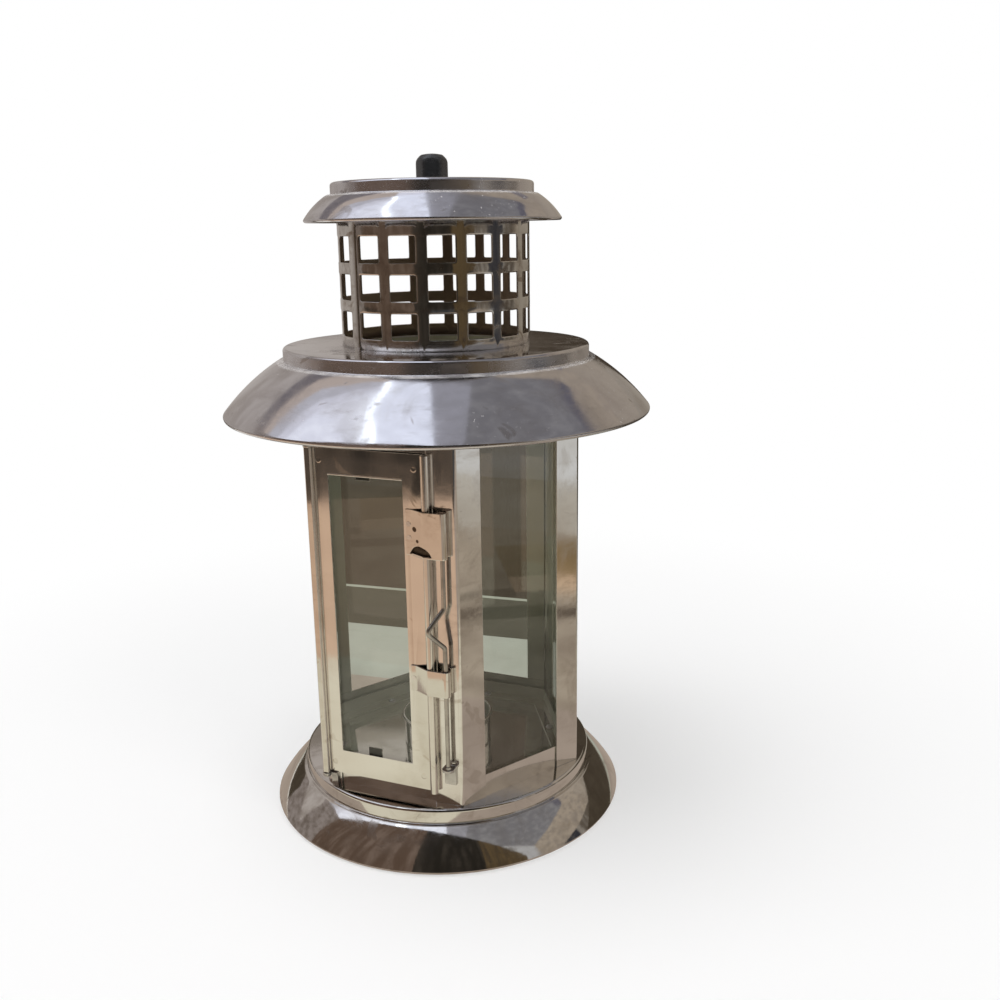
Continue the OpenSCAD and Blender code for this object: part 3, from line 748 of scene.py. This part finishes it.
# Knob: a six-sided cap with soft edges and a chamfered, domed top
def knob_mesh():
    corner = KNOB_FLATS / 2 / math.cos(math.radians(30))
    around = 120
    side_h = KNOB_H - KNOB_TOP
    # Heights and how far the edge is drawn in there: soft foot, straight sides, and the top
    levels = [(0.0, 0.35), (0.25, 0.08), (KNOB_FOOT, 0.0)]
    levels += [(KNOB_FOOT + (side_h - KNOB_FOOT) * k / 8, 0.0) for k in range(1, 9)]
    levels += [(side_h + KNOB_CLIMB * k / 12, 0.0) for k in range(1, 13)]
    bm = bmesh.new()
    rows = []

    def soft_least(a, b, blend):
        share = max(0.0, min(1.0, 0.5 + 0.5 * (b - a) / blend))
        return b * (1 - share) + a * share - blend * share * (1 - share)

    for z, trim in levels:
        climb = max(0.0, z - side_h) / KNOB_CLIMB
        limit = corner + KNOB_EASE - KNOB_TAPER * climb ** 1.6
        row = []
        for k in range(around):
            turn = 360 * k / around
            off_flat = (turn % 60) - 30
            flat = KNOB_FLATS / 2 / math.cos(math.radians(off_flat))
            radius = soft_least(flat, corner - 0.12, KNOB_SOFT)
            radius = soft_least(radius, limit, KNOB_SOFT) - trim
            row.append(bm.verts.new(on_ring(radius, math.radians(turn + KNOB_TURN), KNOB_Z + z)))
        rows.append(row)
    last_z = levels[-1][0]
    for k in range(1, 6):
        share = 1 - k / 6
        row = []
        for vert in rows[len(levels) - 1]:
            z = last_z + (KNOB_H - last_z) * (1 - share ** 2)
            row.append(bm.verts.new((vert.co.x * share, vert.co.y * share, (KNOB_Z + z) * MM)))
        rows.append(row)
    for a, b in zip(rows, rows[1:]):
        bridge(bm, a, b)
    top = bm.verts.new((0, 0, (KNOB_Z + KNOB_H) * MM))
    for k in range(around):
        bm.faces.new((rows[-1][k], rows[-1][(k + 1) % around], top))
    bm.faces.new(rows[0])
    return mesh_from("knob", bm, 60)


add_piece("knob", knob_mesh(), BLACK_PLASTIC, "lantern", ["cap_knob"])

# Sheet pieces, glass and hardware follow the solids, with rounded edges
for number in range(1, 7):
    add_refined(f"corner_{number}", f"post_{number}", 0.2, FRAME_STEEL, "lantern")
for number in range(1, 6):
    add_refined(f"glass_{number}", f"pane_{number}", 0.25, CLEAR_GLASS, "lantern")
for node in ("sill_ring", "header_ring"):
    add_refined(node.replace("ring", "band"), node, 0.15, FRAME_STEEL, "lantern")
hardware = ["hinge_bracket_top", "hinge_bracket_bottom", "hinge_pin"]
hardware += ["bolt_keeper", "knob_washer", "knob_screw"]
for node in hardware:
    name = node.replace("hinge", "door_hinge").replace("bolt", "latch").replace("knob", "top")
    add_refined(name, node, 0.18, HARDWARE_STEEL, "lantern")
for node in ("cup_rivet", "sill_rivets"):
    add_refined(node.replace("rivet", "stud"), node, 0.3, HARDWARE_STEEL, "lantern")
leaf = add_refined("door_leaf", "door_frame", 0.25, LEAF_STEEL, "door")
add_refined("door_glass", "door_pane", 0.25, CLEAR_GLASS, "door")
add_refined("door_tabs", "door_clips", 0.1, HARDWARE_STEEL, "door")


# Place on the door: along the face from the hinge corner, outward from the posts, and up
def on_door(s, f, z):
    return Vector(((s - BODY_R / 2) * MM, (-FACE_A - f) * MM, z * MM))


# The roll round the hinge pin is pressed flat in front
roll_end = on_door(HINGE_S + ROLL_R, ROLL_F + PRESSED_R, 0)
for vertex in leaf.data.vertices:
    if vertex.co.x < roll_end.x:
        vertex.co.y = max(vertex.co.y, roll_end.y)
leaf.data.update()


# Open sheet on the door, with its faces turned outward
def door_sheet(name, bm, sharp_angle):
    mesh = mesh_from(name, bm, sharp_angle)
    if mesh.polygons[0].normal.y > 0:
        mesh.flip_normals()
    return mesh


# Across the door: where the latch sheet starts to climb, and where its ramp ends
def latch_bends():
    ramp = math.radians(LATCH_RAMP)
    bend_s = EDGE_S - (ROLL_R + LATCH_SET + SHEET) * math.tan(ramp / 2)
    return bend_s - (LATCH_F - LEAF_F) / math.tan(ramp), bend_s


# Latch sheet: flat on the stile, raised over the rolled edge and rolled under round the bolt
def latch_outline():
    outer_f = LATCH_F + SHEET
    land_s, bend_s = latch_bends()
    land = Vector((LATCH_S0, LEAF_F + SHEET))
    foot = Vector((land_s, LEAF_F + SHEET))
    crest = Vector((bend_s, outer_f))
    top = Vector((BOLT_S, outer_f))
    corners = [land] + fillet(land, foot, crest, LATCH_ROUND, 6)
    corners += fillet(foot, crest, top, LATCH_ROUND, 6) + [top]
    points = []
    for a, b in zip(corners, corners[1:]):
        steps = max(1, round((b - a).length / LATCH_STEP))
        points += [a.lerp(b, k / steps) for k in range(steps)]
    return points + arc((BOLT_S, BOLT_F), GUIDE_R, 90, -215, 40)


def latch_sheet(name, low_z, high_z, with_window, nodes):
    bm = bmesh.new()

    # Columns of the sheet, split where the half-moon window lies
    columns = []
    for point in latch_outline():
        off = point.x - MOON_S
        reach = math.sqrt(max(0.0, MOON_R ** 2 - off ** 2)) - MOON_SINK
        sill = low_z + MOON_STRIP
        is_flat = point.y > LATCH_F or point.x < EDGE_S
        head = sill + max(0.0, reach) if with_window and is_flat else sill
        columns.append([bm.verts.new(on_door(point.x, point.y, z)) for z in (low_z, sill, head, high_z)])
    for a, b in zip(columns, columns[1:]):
        bm.faces.new((a[0], b[0], b[1], a[1]))
        bm.faces.new((a[2], b[2], b[3], a[3]))
    bmesh.ops.remove_doubles(bm, verts=bm.verts, dist=1e-6)
    piece = add_piece(name, door_sheet(name, bm, 60), DOOR_STEEL, "door", nodes)
    thicken(piece, SHEET)
    edges = piece.modifiers.new("edges", "BEVEL")
    edges.width = 0.12 * MM
    edges.segments = 2
    edges.limit_method = "ANGLE"
    edges.angle_limit = math.radians(50)
    piece.modifiers.new("shading", "WEIGHTED_NORMAL")


latch_sheet("latch", LATCH_Z0, LATCH_Z1, True, ["latch_plate"])
latch_sheet("latch_guide", GUIDE_Z0, GUIDE_Z1, False, ["bolt_guide"])


# Upper edge of the door opening, turned out a little
def hem_mesh():
    centre = (LEAF_F - HEM_SINK, OPEN_Z1 + HEM_UP)
    section = arc(centre, HEM_R, 20, -110, 8) + arc(centre, HEM_R, 110, 38, 4)
    bm = bmesh.new()
    rows = []
    for s in (OPEN_S0, OPEN_S1):
        rows.append([bm.verts.new(on_door(s, point.x, point.y)) for point in section])
    bridge(bm, *rows)
    for row in rows:
        bm.faces.new(row)
    return mesh_from("door_hem", bm, 50)


# Round mark on the door, as rings of (radius, rise), on a sheet that may slope across the door
def add_mark(bm, s, f, z, rings, steps, slope=0.0, squash=1.0):
    loops = []
    for radius, rise in rings:
        loop = []
        for k in range(steps):
            angle = 2 * math.pi * k / steps
            along = radius * math.cos(angle)
            place = on_door(
                s + along * math.cos(slope) - rise * math.sin(slope),
                f + along * math.sin(slope) + rise * math.cos(slope),
                z + radius * math.sin(angle) * squash,
            )
            loop.append(bm.verts.new(place))
        loops.append(loop)
    for a, b in zip(loops, loops[1:]):
        bridge(bm, a, b)
    bm.faces.new(loops[-1])


# Spot welds at the corners of the door
WELDS = ((5.2, 181.5), (51.6, 180.5), (5.2, 35.5), (51.6, 36.5))
WELD_RINGS = ((1.5, -0.04), (1.3, 0.03), (0.9, 0.02), (0.5, 0.005))


def weld_mesh():
    bm = bmesh.new()
    for s, z in WELDS:
        add_mark(bm, s, LEAF_F, z, WELD_RINGS, 24)
    return door_sheet("door_welds", bm, 60)


# Dark sheet under the latch plate, seen in its half-moon window: painted shade, put where the gap under the
# plate is in shade
def shade_sheet_mesh():
    near = []
    for point in latch_outline():
        if abs(point.x - MOON_S) < MOON_R and point.y > LEAF_F + SHEET:
            near.append(point)
    heights = (LATCH_Z0 + 0.3, LATCH_Z0 + MOON_STRIP + MOON_R - MOON_SINK + 1)
    bm = bmesh.new()
    rows = []
    for point in shifted(near, -SHEET - SHADE_SHEET_GAP):
        rows.append([bm.verts.new(on_door(point.x, point.y, z)) for z in heights])
    for a, b in zip(rows, rows[1:]):
        bm.faces.new((a[0], b[0], b[1], a[1]))
    return door_sheet("latch_grime", bm, 60)


shade_sheet = add_piece("latch_grime", shade_sheet_mesh(), PAINTED_SHADE_STEEL, "door", [])
thicken(shade_sheet, SHADE_SHEET_T)

# Punch marks on the slope of the latch plate, coloured dark: place across, height and size
PUNCHES = ((52.0, 154.6, 1.5), (53.6, 149.6, 1.0))
PUNCH_RINGS = ((1.0, -0.03), (0.85, 0.05), (0.5, 0.02))
PUNCH_SQUASH = 0.8


def punch_mesh():
    slope = math.radians(LATCH_RAMP)
    land_s = latch_bends()[0]
    bm = bmesh.new()
    for s, z, size in PUNCHES:
        f = LEAF_F + SHEET + (s - land_s) * math.tan(slope)
        rings = [(size * share, rise) for share, rise in PUNCH_RINGS]
        add_mark(bm, s, f, z, rings, 20, slope, PUNCH_SQUASH)
    return door_sheet("latch_marks", bm, 60)


add_piece("latch_marks", punch_mesh(), DARK_MARK_STEEL, "door", [])
add_piece("door_hem", hem_mesh(), DOOR_STEEL, "door", [])
add_piece("door_welds", weld_mesh(), DOOR_STEEL, "door", [])

# Rivets of the latch plate, hammered nearly flush
studs = add_refined("latch_studs", "latch_rivets", 0.0, STUD_STEEL, "door")
flush_y = on_door(0, LEAF_F + SHEET + STUD_RISE, 0).y
for vertex in studs.data.vertices:
    vertex.co.y = max(vertex.co.y, flush_y)
studs.data.update()
add_refined("bolt_wire", "latch_bolt", 0.0, WIRE_STEEL, "bolt")

# Camera at the photograph's viewing angle
AZIMUTH = 25.3
TURN_RIGHT = 3.33
LOOK_DOWN = 14.586
ROLL = -0.8
CAMERA_REACH = 0.4939
CAMERA_Z = 0.2784
LENS = 37.48
camera_data = bpy.data.cameras.new("camera")
camera_data.lens = LENS
camera_data.sensor_width = 36.0
camera = placed("camera", camera_data)
azimuth = math.radians(AZIMUTH)
camera_place = Vector((CAMERA_REACH * math.sin(azimuth), -CAMERA_REACH * math.cos(azimuth), CAMERA_Z))
camera_turn = Matrix.Rotation(math.radians(AZIMUTH - TURN_RIGHT), 4, "Z")
camera_tilt = Matrix.Rotation(math.radians(90 - LOOK_DOWN), 4, "X")
camera_roll = Matrix.Rotation(math.radians(ROLL), 4, "Z")
camera.matrix_world = Matrix.Translation(camera_place) @ camera_turn @ camera_tilt @ camera_roll
scene.camera = camera

# Stage, in directions seen by the camera: right, towards the camera and up
RIGHT = Vector((math.cos(azimuth), math.sin(azimuth), 0))
TOWARDS = Vector((math.sin(azimuth), -math.cos(azimuth), 0))
UP = Vector((0, 0, 1))


def staged(right, towards, up):
    return RIGHT * right + TOWARDS * towards + UP * up


# Glowing surface with a mottle between two colours
def glow(name, colour, other, stretch):
    surface = Surface(name)
    emission = surface.add("ShaderNodeEmission")
    mottle = surface.noise(surface.stretch(stretch), 1.0, 4, 0.6)
    share = surface.remap(mottle, 0.4, 0.68)
    surface.link(surface.mix(share, (*colour, 1), (*other, 1)), emission.inputs["Color"])
    surface.link(emission.outputs[0], surface.output.inputs["Surface"])
    surface.tree.nodes.remove(surface.shader)
    return surface.material


# Scale of a card's mottle, and heights of cards that lie on the floor
MOTTLE = (9, 9, 9)
BASE_LIFT = 0.0005
FLOOR_LIFT = 0.001
PATCH_LIFT = 0.0015


# Studio card: shows in polished metal and through glass, and casts no light or shadow of its own
def card(name, corners, colour, other, stretch=MOTTLE):
    mesh = bpy.data.meshes.new(name)
    mesh.from_pydata(corners, [], [tuple(range(len(corners)))])
    mesh.materials.append(glow(name, colour, other, stretch))
    piece = placed(name, mesh)
    piece.visible_camera = False
    piece.visible_diffuse = False
    piece.visible_shadow = False


# Corners of a rectangle between two pairs of limits
def rectangle(a, b):
    return [(a[0], b[0]), (a[1], b[0]), (a[1], b[1]), (a[0], b[1])]


# Upright card between two places on the floor
def upright(name, start, end, low, high, colour, other, stretch=MOTTLE):
    corners = [staged(*start, low), staged(*end, low), staged(*end, high), staged(*start, high)]
    card(name, corners, colour, other, stretch)


# Flat card on the floor, in the directions of the camera
def level(name, right, towards, colour, other, stretch=MOTTLE):
    corners = [staged(*place, FLOOR_LIFT) for place in rectangle(right, towards)]
    card(name, corners, colour, other, stretch)


# Flat card on the floor, in the axes of the object
def floor_card(name, x, y, z, colour, other):
    card(name, [(*place, z) for place in rectangle(x, y)], colour, other)


# Ceiling: a light area with a bright tube across it, darker to the right, tan where it meets the walls
CEILING = 1.25
OVERLAY = 0.002
SIDE = 1.7
FAR = -1.6
NEAR = 1.1
GREY_LEFT = -0.045
GREY_RIGHT = 0.185
GREY_FAR = -1.0
BACK_RIGHT = 0.8


def ceiling(name, places, colour, other, drop=0.0):
    card(name, [staged(*place, CEILING - drop) for place in places], colour, other)


# Far and near edge of the tan band above the back wall
TAN_FAR = [(-0.2, -0.53), (-0.45, -0.62), (-0.73, -0.80), (-SIDE, -0.81)]
TAN_NEAR = [(-SIDE, -0.60), (-0.72, -0.56), (-0.54, -0.42), (-0.41, -0.37), (-0.27, -0.3)]

# Edges of two darker strips beside it, and the middle line of the tube with half its width
SHADE_NEAR = [(-SIDE, -0.36), (-0.78, -0.38), (-0.58, -0.30), (-0.45, -0.28), (-0.285, -0.24)]
SHADE_FAR = [(-SIDE, -0.20), (-0.85, -0.24), (-0.63, -0.20), (-0.48, -0.19), (-0.30, -0.18)]
TUBE_LINE = [(-0.27, -0.3), (-0.30, -0.18), (-0.38, -0.06), (-0.48, 0.09)]
TUBE_LINE += [(-0.51, 0.27), (-0.56, 0.39), (-0.815, NEAR)]
TUBE_HALF = [0.02, 0.025, 0.034, 0.043, 0.06, 0.08, 0.085]

back = [(-SIDE, FAR), (BACK_RIGHT, FAR), (BACK_RIGHT, GREY_FAR), (GREY_LEFT, GREY_FAR), (-0.2, -0.63)]
ceiling("card_ceiling_back", back + TAN_FAR, (0.19, 0.17, 0.18), (0.26, 0.235, 0.235))
ceiling("card_ceiling_tan", TAN_FAR + TAN_NEAR, (0.56, 0.48, 0.42), (0.50, 0.43, 0.38))
ceiling("card_ceiling_shade", TAN_NEAR + SHADE_NEAR[::-1], (0.54, 0.54, 0.58), (0.62, 0.62, 0.68))
ceiling("card_ceiling_half", SHADE_NEAR + SHADE_FAR[::-1], (0.74, 0.75, 0.83), (0.84, 0.85, 0.94))
left = SHADE_FAR + TUBE_LINE[2:] + [(-SIDE, NEAR)]
ceiling("card_ceiling_left", left, (0.92, 0.95, 1.06), (1.06, 1.1, 1.2))
tube = [(right - half, towards) for (right, towards), half in zip(TUBE_LINE, TUBE_HALF)]
tube += [(right + half, towards) for (right, towards), half in zip(TUBE_LINE[::-1], TUBE_HALF[::-1])]
ceiling("card_ceiling_tube", tube, (1.8, 1.95, 2.1), (2.0, 2.15, 2.3), OVERLAY)
middle = [(GREY_LEFT, -0.3), (GREY_LEFT, NEAR)] + TUBE_LINE[::-1]
ceiling("card_ceiling_middle", middle, (0.94, 0.99, 1.12), (1.06, 1.12, 1.26))
inner = [(-0.27, -0.3), (-0.2, -0.53), (-0.2, -0.63), (GREY_LEFT, GREY_FAR), (GREY_LEFT, -0.3)]
ceiling("card_ceiling_inner", inner, (0.80, 0.81, 0.90), (0.92, 0.94, 1.05))
grey = rectangle((GREY_LEFT, GREY_RIGHT), (GREY_FAR, NEAR))
ceiling("card_ceiling_grey", grey, (0.33, 0.33, 0.36), (0.38, 0.38, 0.42))

# Edge between the dark and the tan part on the right, with a shade along it
TAN_EDGE = [(GREY_RIGHT, -0.36), (0.35, -0.38), (0.48, -0.44), (0.64, -0.58), (0.79, -0.71), (0.91, -0.69)]
TAN_EDGE += [(0.99, -0.51), (1.17, -0.40), (1.37, -0.32), (SIDE, -0.22)]
SHADE_SHIFT = (-0.12, 0.13)
dark = TAN_EDGE + [(SIDE, NEAR), (GREY_RIGHT, NEAR)]
ceiling("card_ceiling_dark", dark, (0.20, 0.195, 0.205), (0.27, 0.265, 0.27))
tan = [(GREY_RIGHT, GREY_FAR), (BACK_RIGHT, GREY_FAR), (BACK_RIGHT, FAR), (SIDE, FAR)] + TAN_EDGE[::-1]
ceiling("card_ceiling_right", tan, (0.40, 0.34, 0.27), (0.34, 0.29, 0.24))
shaded = TAN_EDGE[3:]
shaded += [(right + SHADE_SHIFT[0], towards + SHADE_SHIFT[1]) for right, towards in TAN_EDGE[:2:-1]]
ceiling("card_ceiling_shaded", shaded, (0.13, 0.125, 0.15), (0.18, 0.172, 0.19), OVERLAY)

# Behind the object: a brown wall and a table edge seen through the glass, and lighter walls above them
BACK = -0.27
BACK_Y = 0.2545
BACK_W = 0.9
WALL_Z = 0.165
HIGH_Z = 0.3
TOP_Z = 0.5

# The table and the brown wall stand a little askew to the object
TABLE_SLANT = 0.1
TABLE_X = -0.182
TABLE_W = 0.35


def askew(x, y, z):
    return (x, y + TABLE_SLANT * (x - TABLE_X), z)


def table_card(name, y, colour, other):
    corners = [askew(*place, FLOOR_LIFT) for place in rectangle((-TABLE_W, TABLE_W), y)]
    card(name, corners, colour, other)


low_wall = [askew(x, BACK_Y, z) for x, z in rectangle((-BACK_W, BACK_W), (0.0, WALL_Z))]
card("card_back_low", low_wall, (0.064, 0.05, 0.035), (0.078, 0.062, 0.044))
for name, start, end, low, high, colour, other in (
    ("card_back_left", -BACK_W, 0.0, WALL_Z, TOP_Z, (0.48, 0.44, 0.41), (0.36, 0.32, 0.29)),
    ("card_back_right", 0.0, 0.18, WALL_Z, HIGH_Z, (0.05, 0.037, 0.025), (0.08, 0.065, 0.05)),
    ("card_back_high", 0.0, BACK_W, HIGH_Z, TOP_Z, (0.38, 0.33, 0.27), (0.33, 0.28, 0.23)),
    ("card_back_far", 0.18, BACK_W, WALL_Z, HIGH_Z, (0.34, 0.30, 0.25), (0.28, 0.24, 0.19)),
):
    upright(name, (start, BACK), (end, BACK), low, high, colour, other)
upright("card_back_wall", (-SIDE, FAR), (SIDE, FAR), 0.0, CEILING, (0.30, 0.26, 0.22), (0.24, 0.21, 0.18))
table_card("card_table", (0.175, 0.2495), (0.088, 0.082, 0.060), (0.104, 0.096, 0.072))
table_card("card_table_edge", (0.2495, BACK_Y), (0.42, 0.43, 0.35), (0.36, 0.36, 0.29))
table_card("card_table_near", (0.09, 0.175), (0.46, 0.47, 0.40), (0.37, 0.365, 0.31))

# Sides
SIDE_Z = 0.6
upright("card_left", (-SIDE, FAR), (-SIDE, NEAR), 0.0, CEILING, (0.30, 0.26, 0.24), (0.16, 0.13, 0.11))
upright(
    "card_right", (SIDE, FAR), (SIDE, 1.5), 0.0, SIDE_Z, (0.11, 0.09, 0.07), (0.36, 0.33, 0.29), (6, 6, 1)
)
dark_side = SIDE - 0.02
upright(
    "card_right_dark", (dark_side, 0.1), (dark_side, 0.75), 0.02, SIDE_Z,
    (0.035, 0.035, 0.042), (0.08, 0.075, 0.075),
)
upright("card_right_high", (SIDE, FAR), (SIDE, NEAR), SIDE_Z, CEILING, (0.40, 0.34, 0.27), (0.28, 0.24, 0.20))
level("card_floor_right_far", (0.72, SIDE), (-0.4, 0.7), (0.66, 0.67, 0.67), (0.56, 0.55, 0.52))
level("card_floor_right_mid", (0.52, 0.72), (-0.4, 0.7), (0.50, 0.47, 0.41), (0.40, 0.36, 0.30))
level("card_floor_right", (0.16, 0.52), (-0.25, 0.6), (0.43, 0.37, 0.29), (0.27, 0.22, 0.17), (20, 20, 20))
for name, x, y, colour, other in (
    ("card_patch_brown", (0.412, 0.5), (0.02, 0.14), (0.26, 0.18, 0.09), (0.2, 0.14, 0.07)),
    ("card_patch_tan", (0.375, 0.412), (0.02, 0.14), (0.66, 0.48, 0.32), (0.56, 0.41, 0.28)),
    ("card_patch_dark", (0.32, 0.345), (-0.06, 0.14), (0.08, 0.06, 0.045), (0.15, 0.12, 0.09)),
    ("card_patch_near", (0.365, 0.385), (-0.06, 0.02), (0.11, 0.09, 0.075), (0.2, 0.17, 0.13)),
):
    floor_card(name, x, y, PATCH_LIFT, colour, other)

# In front of the door: a tan floor up to a dark wall that is parallel to the door
FRONT_Y = -0.645


FRONT_W = 2.2
FRONT_Z = 0.15
FOOT_Z = 0.1
DARK_WALL = ((0.035, 0.029, 0.024), (0.14, 0.105, 0.08))
TAN_FLOOR = ((0.66, 0.47, 0.335), (0.60, 0.42, 0.30))


def front_card(name, x, z, colour, other):
    corners = [(across, FRONT_Y, up) for across, up in rectangle(x, z)]
    card(name, corners, colour, other, (16, 16, 2))


front_card("card_front_door", (-FRONT_W, 0.12), (0.0, FRONT_Z), *DARK_WALL)
front_card("card_front_tier", (0.12, 0.7), (0.0, FRONT_Z), (0.05, 0.05, 0.053), (0.08, 0.078, 0.076))
front_card("card_front_foot", (0.7, FRONT_W), (0.0, FOOT_Z), (0.034, 0.034, 0.036), (0.065, 0.062, 0.06))
front_card("card_front_left", (-FRONT_W, 0.02), (FRONT_Z, CEILING), (0.11, 0.073, 0.052), (0.19, 0.14, 0.11))
front_card("card_front_middle", (0.02, 0.7), (FRONT_Z, CEILING), (0.022, 0.019, 0.015), (0.05, 0.042, 0.034))
front_card("card_front_right", (0.7, FRONT_W), (FOOT_Z, CEILING), (0.12, 0.083, 0.042), (0.06, 0.045, 0.03))
corner = [(-0.28, FRONT_Y), (-0.5, FRONT_Y), (-0.5, FRONT_Y + 0.11)]
card("card_front_corner", [(*place, PATCH_LIFT) for place in corner], *DARK_WALL)
floor_x = (-FRONT_W, FRONT_W)
floor_card("card_floor_base", floor_x, (FRONT_Y, FRONT_W), BASE_LIFT, (0.42, 0.35, 0.29), (0.34, 0.28, 0.23))
for name, x, y, colour, other in (
    ("card_floor_tan", (-1.4, 0.12), (FRONT_Y, -0.24), *TAN_FLOOR),
    ("card_floor_side", (-1.4, -0.3), (-0.24, -0.1), *TAN_FLOOR),
    ("card_floor_left", (-0.8, -0.3), (-0.1, 0.5), (0.86, 0.82, 0.75), (0.78, 0.74, 0.66)),
    ("card_floor_cream", (-0.3, 0.3), (-0.24, -0.1), (0.74, 0.70, 0.56), (0.66, 0.60, 0.47)),
):
    floor_card(name, x, y, FLOOR_LIFT, colour, other)

# Floor: pale, keeps the shadow near the object and is white further out
FLOOR_W = 12.0
floor_mesh = bpy.data.meshes.new("floor")
floor_corners = [(*place, 0.0) for place in rectangle((-FLOOR_W, FLOOR_W), (-FLOOR_W, FLOOR_W))]
floor_mesh.from_pydata(floor_corners, [], [(0, 1, 2, 3)])
floor = placed("floor", floor_mesh)
ground = Surface("floor")
ground.look("Base Color", (0.9, 0.9, 0.9, 1))
ground.look("Roughness", 0.9)
ground.look("Specular IOR Level", 0.0)
floor_glow = ground.add("ShaderNodeEmission")
floor_glow.inputs["Color"].default_value = (1, 1, 1, 1)
floor_glow.inputs["Strength"].default_value = 1.0
distance = ground.add("ShaderNodeVectorMath")
distance.operation = "LENGTH"
ground.link(ground.place, distance.inputs[0])
far = ground.remap(distance.outputs["Value"], 0.12, 0.5, 0.45, 1.0)
rays = ground.add("ShaderNodeLightPath").outputs
seen = ground.math("MAXIMUM", rays["Is Camera Ray"], rays["Is Transmission Ray"])
seen = ground.math("MAXIMUM", seen, rays["Is Glossy Ray"])
ground.blend(ground.times(far, seen), ground.shader, floor_glow)
floor_mesh.materials.append(ground.material)

# World: white to the camera, soft light to the rest
world = bpy.data.worlds.new("world")
scene.world = world
world.use_nodes = True
world.node_tree.nodes.clear()
add_node = world.node_tree.nodes.new
add_link = world.node_tree.links.new
world_output = add_node("ShaderNodeOutputWorld")
background = add_node("ShaderNodeBackground")
background.inputs["Color"].default_value = (1, 1, 1, 1)
world_rays = add_node("ShaderNodeLightPath").outputs
world_seen = add_node("ShaderNodeMath")
world_seen.operation = "MAXIMUM"
add_link(world_rays["Is Camera Ray"], world_seen.inputs[0])
add_link(world_rays["Is Transmission Ray"], world_seen.inputs[1])
world_strength = add_node("ShaderNodeMapRange")
world_strength.inputs["To Min"].default_value = 0.45
world_strength.inputs["To Max"].default_value = 1.0
add_link(world_seen.outputs[0], world_strength.inputs["Value"])
add_link(world_strength.outputs["Result"], background.inputs["Strength"])
add_link(background.outputs[0], world_output.inputs["Surface"])


# Lamps: soft, and left out of reflections
def lamp(name, at, target, width, height, power, colour):
    data = bpy.data.lights.new(name, "AREA")
    data.shape = "RECTANGLE"
    data.size = width
    data.size_y = height
    data.energy = power
    data.color = colour
    light = placed(name, data)
    light.location = staged(*at)
    light.rotation_mode = "QUATERNION"
    light.rotation_quaternion = (staged(*target) - staged(*at)).to_track_quat("-Z", "Y")
    light.visible_glossy = False
    light.visible_transmission = False


lamp("lamp_top", (-0.36, 0.1, 1.2), (0.0, 0.0, 0.1), 0.7, 0.9, 9.0, (1.0, 0.99, 1.0))
lamp("lamp_fill", (0.7, 0.9, 0.9), (0.0, 0.0, 0.15), 0.6, 0.6, 5.0, (1.0, 0.98, 0.95))
